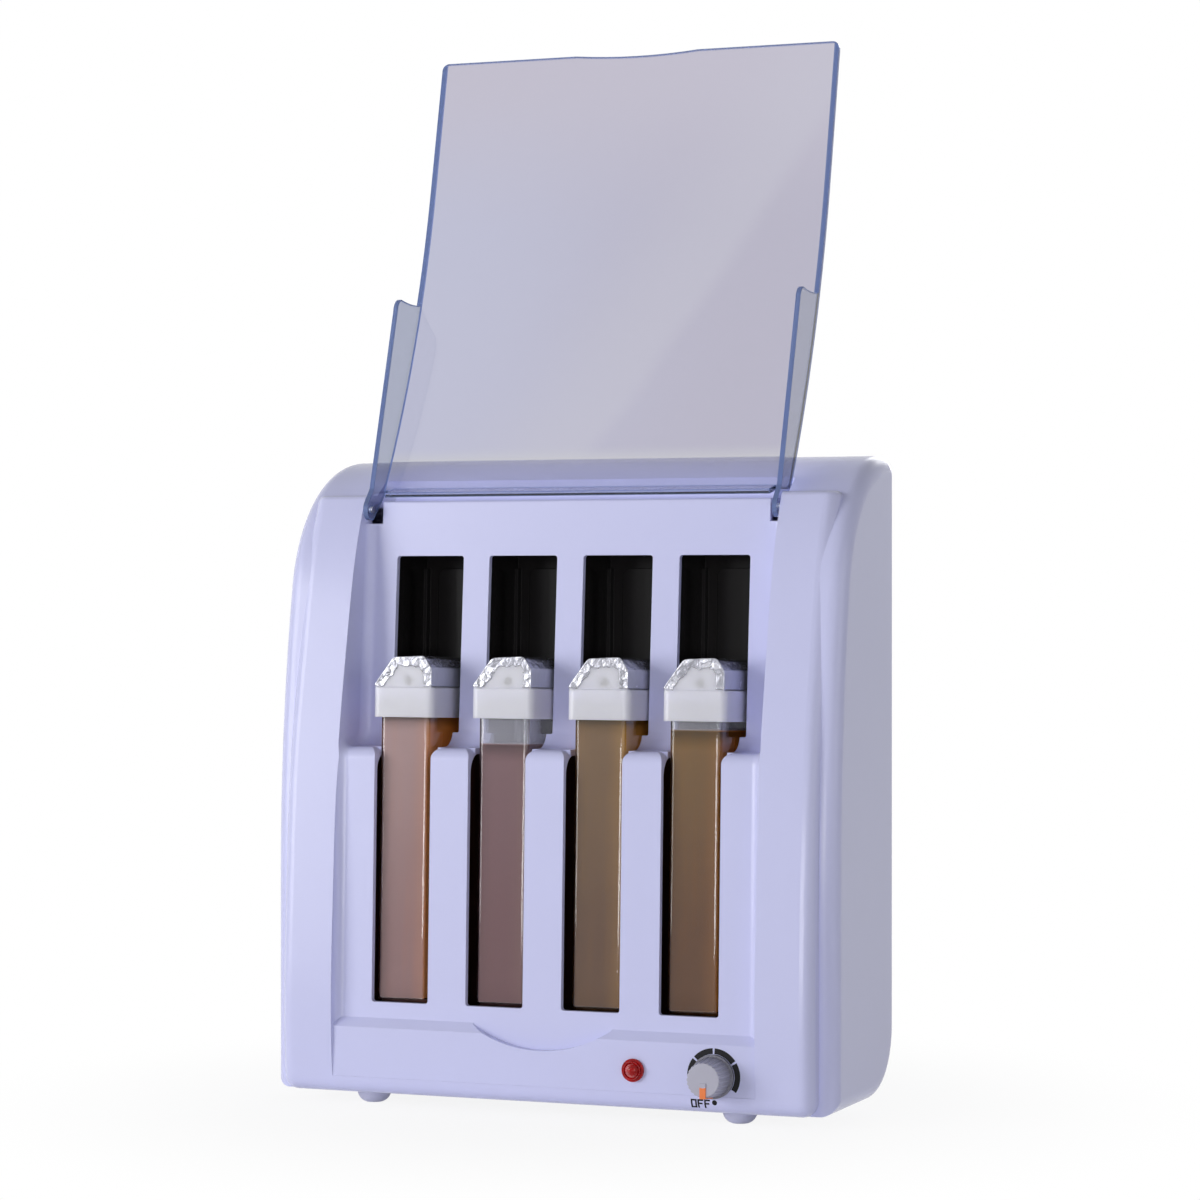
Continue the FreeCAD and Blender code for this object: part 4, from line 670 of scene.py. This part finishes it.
def creased(point, size, seed):
    # flat facets between sharp creases, about -1 to 1
    p = point / size + Vector([seed * step for step in foil["seedStep"]])
    near, _ = noise.voronoi(p)
    facet = min(near[1] - near[0], foil["facetReach"]) * 2 - foil["facetReach"]
    ridge = 1 - 2 * abs(noise.noise(p * foil["ridgeWave"]))
    fine = abs(noise.noise(p * foil["fineWave"] + Vector(foil["fineShift"])))
    return foil["facetShare"] * facet + foil["ridgeShare"] * ridge - foil["fineShare"] * fine


def foldedPlace(number, along, share, near):
    # depth, and distance out from the head's outline, on the part folded down over the front
    wander = sum(noise.noise(Vector((along * wave, number * seed, shift))) * foil["foldWander"] * part
                 for wave, seed, shift, part in foil["wander"])
    inset = share * (foil["fold"] + wander)
    flat = Vector((along, inset, 0))
    lift = foil["crumple"] * foil["foldShare"] * creased(flat, foil["foldFacet"], number)
    lip = foil["lipCrumple"] * creased(flat, foil["lipFacet"], number + foil["lipSeed"])
    return near - foil["stand"] - lift * min(1, share * foil["foldLift"]), foil["stand"] - inset + lip


def topPlace(number, along, depth, near):
    # the same over the head, calmer towards the back
    flat = Vector((along, -depth, 0))
    calm = 1 / (1 + max(0.0, depth - near) / foil["calmReach"])
    size = foil["topCrumple"] + (foil["crumple"] - foil["topCrumple"]) * calm
    grow = foil["stand"]
    grow += size * foil["topShare"] * creased(flat, foil["topFacet"], number + foil["topSeed"])
    return depth, max(grow, foil["leastStand"])


def makeFoil(number, finish):
    half, top, foot = cartridge["headHalf"], cartridge["headTop"], cartridge["deckTop"]
    leftX, leftDrop = foil["leftHead"]
    outline = [(-half, foot + foil["footGap"]), (-half, foot + foil["leftRise"]), (leftX, top - leftDrop),
               (half - foil["rightHead"], top), (half, top - foil["rightDrop"]),
               (half, foot + foil["footGap"])]
    places, normals = roundedPath(outline, foil["radii"], foil["step"])
    near = cartridge["skirtFront"] + foil["frontInset"]
    far = cartridge["skirtFront"] + cartridge["skirtDepth"] - foil["backInset"]
    rows = [(foldedPlace, 1 - r / (foil["foldRows"] - 1)) for r in range(foil["foldRows"])]
    backRows = round((far - near) / foil["backStep"])
    for r in range(1, backRows + 1):
        share = (r / backRows) ** foil["backBunching"]
        rows.append((topPlace, near - foil["stand"] + (far - near + foil["stand"]) * share))
    corners = []
    for placed, value in rows:
        for n, (spot, normal) in enumerate(zip(places, normals)):
            depth, away = placed(number, n * foil["step"], value, near)
            corners.append(place(centreOf(number), spot.x + normal.x * away, depth, spot.y + normal.y * away))
    piece = newPiece("foil_seal_%d" % number, corners, gridFaces(len(rows), len(places)), finish,
                     "cartridge_%d" % number)
    thick = piece.modifiers.new("thickness", "SOLIDIFY")
    thick.thickness = foil["thickness"]
    thick.offset = 0.0
    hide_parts("foil_%d" % number)


def foilFinish():
    sheet = Finish("crumpledFoil")
    smear = sheet.noiseAt(*foil["smear"])
    wrinkle = sheet.noiseAt(*foil["wrinkle"], distortion=foil["wrinkleTwist"])
    grain = sheet.out("TexNoise", {}, {"Vector": sheet.place, "Scale": foil["warpGrain"]}, "Color")
    warp = sheet.out("VectorMath", {"operation": "MULTIPLY_ADD"},
                     {0: grain, 1: (foil["warp"],) * 3, 2: sheet.place})
    cells = {"Vector": warp, "Scale": foil["facets"]}
    facet = sheet.axis("X", sheet.out("TexVoronoi", {}, cells, "Color"))
    paintedCreaseMask = sheet.out("TexVoronoi", {"feature": "DISTANCE_TO_EDGE"}, cells, "Distance")
    # painted reflections on the facets, painted shade in the creases; the top takes a calmer, even tone
    colour = sheet.blend(facet.ramp(*foil["facetTones"]), foil["paintedDimFacet"], foil["paintedLitFacet"])
    colour = sheet.blend(paintedCreaseMask.ramp(*foil["paintedCreaseWidth"]), foil["paintedCreaseShade"], colour)
    calm = (sheet.axis("Y") + smear.swing(foil["calmWander"])).ramp(*foil["calmFrom"])
    colour = sheet.blend(calm * foil["calmShare"], colour, foil["topTone"])
    # painted light on the side facing right
    side = sheet.facing("X").ramp(*foil["sideTurn"])
    sheet.set(Base_Color=sheet.blend(side, colour, foil["paintedSideLightTone"]),
              Roughness=foil["rough"] + foil["smearRough"] * smear, Metallic=1 - foil["sideDull"] * side)
    return sheet.bumped(wrinkle, foil["wrinkleDepth"])


sheet = foilFinish()
for number in slotNumbers:
    makeFoil(number, sheet)
print("foil seals made")


# ---------- dial print
dial = {
    # a plate of ink is laid on the face that a ray from far in front meets
    "x": 0.0746, "z": 0.0200, "rayFrom": -1.0, "proud": 0.00006, "sunk": 0.0003, "cell": 0.0006,
    "ink": {"colour": tint(20, 19, 24), "rough": 0.55, "spread": 0.08, "grain": 3000.0,
            "depth": 0.000004, "edge": 0.0, "shade": 0.2, "Specular_IOR_Level": 0.2},
    # degrees, anticlockwise from the right
    "outer": 0.0111, "inner": 0.0088, "start": -33, "end": 213, "breaks": (33, 90, 140, 183), "gap": 4.5,
    "arcStep": 3, "fewestSteps": 6, "dot": (0.0749, 0.0096, 0.00105), "dotSides": 32,
    "textX": 0.0653, "textZ": 0.0075, "letterHeight": 0.0029, "letterWidth": 0.0018, "stroke": 0.00066,
    "letterPitch": 0.0028, "barHeight": 0.53, "barWidth": 0.8,
}


def makePrint():
    ink = plastic("dialInk", **dial["ink"])
    skin = nodes["front_shell"].data
    face = BVHTree.FromPolygons([v.co for v in skin.vertices], [tuple(p.vertices) for p in skin.polygons])
    corners, faces = [], []

    def add(outline):
        # a thin plate that follows the moulded face under it
        count, start = len(outline), len(corners)
        seats = [face.ray_cast(Vector((x, dial["rayFrom"], z)), Vector((0, 1, 0)))[0].y for x, z in outline]
        corners.extend((x, y - dial["proud"], z) for (x, z), y in zip(outline, seats))
        corners.extend((x, y + dial["sunk"], z) for (x, z), y in zip(outline, seats))
        plate = [tuple(range(count)), tuple(range(2 * count - 1, count - 1, -1))]
        plate += [((k + 1) % count, k, k + count, (k + 1) % count + count) for k in range(count)]
        faces.extend(tuple(k + start for k in side) for side in plate)

    def stroke(low, high):
        # cut into short cells, so that the stroke bends with the face
        columns, rows = (max(1, math.ceil((high[k] - low[k]) / dial["cell"])) for k in (0, 1))
        for c in range(columns):
            for r in range(rows):
                x0, x1 = (low[0] + (high[0] - low[0]) * k / columns for k in (c, c + 1))
                z0, z1 = (low[1] + (high[1] - low[1]) * k / rows for k in (r, r + 1))
                add([(x0, z0), (x1, z0), (x1, z1), (x0, z1)])

    inner, outer = dial["inner"], dial["outer"]
    stops = [dial["start"]] + list(dial["breaks"]) + [dial["end"]]
    for first, second in zip(stops, stops[1:]):
        low = first + (dial["gap"] / 2 if first != dial["start"] else 0)
        high = second - (dial["gap"] / 2 if second != dial["end"] else 0)
        steps = max(dial["fewestSteps"], round((high - low) / dial["arcStep"]))
        turns = [math.radians(low + (high - low) * k / steps) for k in range(steps + 1)]
        for turn, after in zip(turns, turns[1:]):
            add([(dial["x"] + r * math.cos(t), dial["z"] + r * math.sin(t))
                 for r, t in ((inner, turn), (inner, after), (outer, after), (outer, turn))])
    x, z, radius = dial["dot"]
    turns = [2 * math.pi * k / dial["dotSides"] for k in range(dial["dotSides"])]
    add([(x + radius * math.cos(turn), z + radius * math.sin(turn)) for turn in turns])

    width, height, pen = dial["letterWidth"], dial["letterHeight"], dial["stroke"] / 2
    bar = height * dial["barHeight"]
    post, head = ((0, 0), (0, height)), ((0, height), (width, height))
    strokes = {"O": [post, head, ((width, height), (width, 0)), ((width, 0), (0, 0))],
               "F": [post, head, ((0, bar), (width * dial["barWidth"], bar))]}
    for n, letter in enumerate("OFF"):
        left = dial["textX"] + n * dial["letterPitch"]
        for (x0, z0), (x1, z1) in strokes[letter]:
            stroke((left + min(x0, x1) - pen, dial["textZ"] + min(z0, z1) - pen),
                   (left + max(x0, x1) + pen, dial["textZ"] + max(z0, z1) + pen))
    newPiece("dial_print", corners, faces, ink, "housing", smooth=False)


makePrint()


# ---------- lamp
lamp = {
    "x": 0.0407, "z": 0.0208, "faceY": -0.0489946, "proud": 0.0012, "sides": 72,
    # a ringed dome, a groove, then a raised outer ring: radius, and y from the bezel's front
    "profile": ((0.00005, -0.0021), (0.0007, -0.00215), (0.0009, -0.0019), (0.0013, -0.0020),
                (0.0016, -0.00165), (0.0020, -0.0017), (0.0023, -0.0012), (0.0027, -0.00115),
                (0.0029, -0.0003), (0.0031, -0.0002), (0.0032, -0.0009), (0.0035, -0.0010),
                (0.0037, -0.0006), (0.0037, 0.0008), (0.00005, 0.0008)),
    "red": {"Transmission_Weight": 0.12, "IOR": 1.46, "Specular_IOR_Level": 0.2, "Subsurface_Weight": 0.1,
            "Subsurface_Radius": (0.002, 0.0004, 0.0004)},
    "light": tint(206, 16, 20), "deep": tint(120, 5, 8), "cloud": (500.0, 3.0), "rough": 0.12,
    "cloudRough": 0.1, "cloudDepth": 0.00004,
    "bulb": {"Transmission_Weight": 0.6, "IOR": 1.45, "Roughness": 0.1}, "bulbGrain": 300.0,
    "bulbPale": tint(255, 190, 150), "bulbDeep": tint(240, 160, 120),
}


def revolved(name, profile, centre, sides, finish, body):
    # profile of (radius, y) turned about an axis along Y
    corners = []
    for radius, y in profile:
        for k in range(sides):
            turn = 2 * math.pi * k / sides
            corners.append((centre[0] + radius * math.cos(turn), y, centre[1] + radius * math.sin(turn)))
    return newPiece(name, corners, gridFaces(len(profile), sides, True), finish, body)


def makeLamp():
    red = Finish("lampRed", **lamp["red"])
    cloud = red.noiseAt(*lamp["cloud"])
    red.set(Base_Color=red.blend(cloud, lamp["light"], lamp["deep"]),
            Roughness=lamp["rough"] + lamp["cloudRough"] * cloud)
    red.bumped(cloud, lamp["cloudDepth"])
    front = lamp["faceY"] - lamp["proud"]
    profile = [(radius, front + depth) for radius, depth in lamp["profile"]]
    lens = revolved("lamp_dome", profile, (lamp["x"], lamp["z"]), lamp["sides"], red, "housing")
    soft = lens.modifiers.new("softer", "SUBSURF")
    soft.levels = soft.render_levels = 1
    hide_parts("lamp_lens")
    dress(red, "lamp_housing")
    bulb = Finish("neonBulb", **lamp["bulb"])
    bulb.set(Base_Color=bulb.blend(bulb.noiseAt(lamp["bulbGrain"]), lamp["bulbPale"], lamp["bulbDeep"]))
    dress(bulb, "lamp_bulb")


makeLamp()


# ---------- knob and its pointer
knob = {
    "grey": {"colour": tint(176, 175, 190), "rough": 0.38, "spread": 0.08, "grain": 1600.0,
             "depth": 0.00002, "edge": 0.0002, "shade": 0.06},
    # painted shade: the knob's rim is darkened, mottled, as in its grooves
    "paintedGrooveShade": tint(84, 83, 93), "rimZone": (0.0067, 0.0081), "paintedShadeLow": 0.55, "paintedShadeSwing": 0.25,
    "paintedShadeMottle": (900.0, 3.0),
    # turning rings on the face and fine ribs round it
    "rings": 16000.0, "ribs": 40.0, "ribShare": 0.4, "ringDepth": 0.000008, "ringEdge": 0.0002,
    "stripe": {"colour": tint(240, 124, 52), "rough": 0.35, "spread": 0.08, "grain": 1600.0,
               "edge": 0.0001, "shade": 0.05},
    "worn": tint(226, 150, 104), "wear": (1400.0, 3.0), "wearShare": 0.25, "paintZone": (0.0029, 0.0031),
}


def fromAxis(finish):
    # distance across and up from the knob's axis
    return finish.axis("X") - dial["x"], finish.axis("Z") - dial["z"]


def finishKnob():
    grey = plastic("knobGrey", **knob["grey"])
    across, up = fromAxis(grey)
    reach = (across * across + up * up) ** 0.5
    turn = up.maths("ARCTAN2", up, across)
    rim = reach.ramp(*knob["rimZone"])
    # painted shade in the grooves round the knob's rim
    shade = rim * (knob["paintedShadeLow"] + knob["paintedShadeSwing"] * grey.noiseAt(*knob["paintedShadeMottle"]))
    grey.set(Base_Color=grey.blend(shade, knob["grey"]["colour"], knob["paintedGrooveShade"]))
    rings = reach.maths("SINE", reach * knob["rings"]) * (1 - rim)
    ribs = turn.maths("SINE", turn * knob["ribs"])
    grey.bumped(rings + knob["ribShare"] * ribs, knob["ringDepth"], knob["ringEdge"])
    dress(grey, "knob")
    stripe = plastic("pointerOrange", **knob["stripe"])
    across, up = fromAxis(stripe)
    paint = ((across * across + up * up) ** 0.5).ramp(*knob["paintZone"])
    worn = stripe.noiseAt(*knob["wear"]) * knob["wearShare"]
    orange = stripe.blend(worn, knob["stripe"]["colour"], knob["worn"])
    stripe.set(Base_Color=stripe.blend(paint, knob["grey"]["colour"], orange))
    dress(stripe, "knob_pointer")


finishKnob()
print("controls finished")
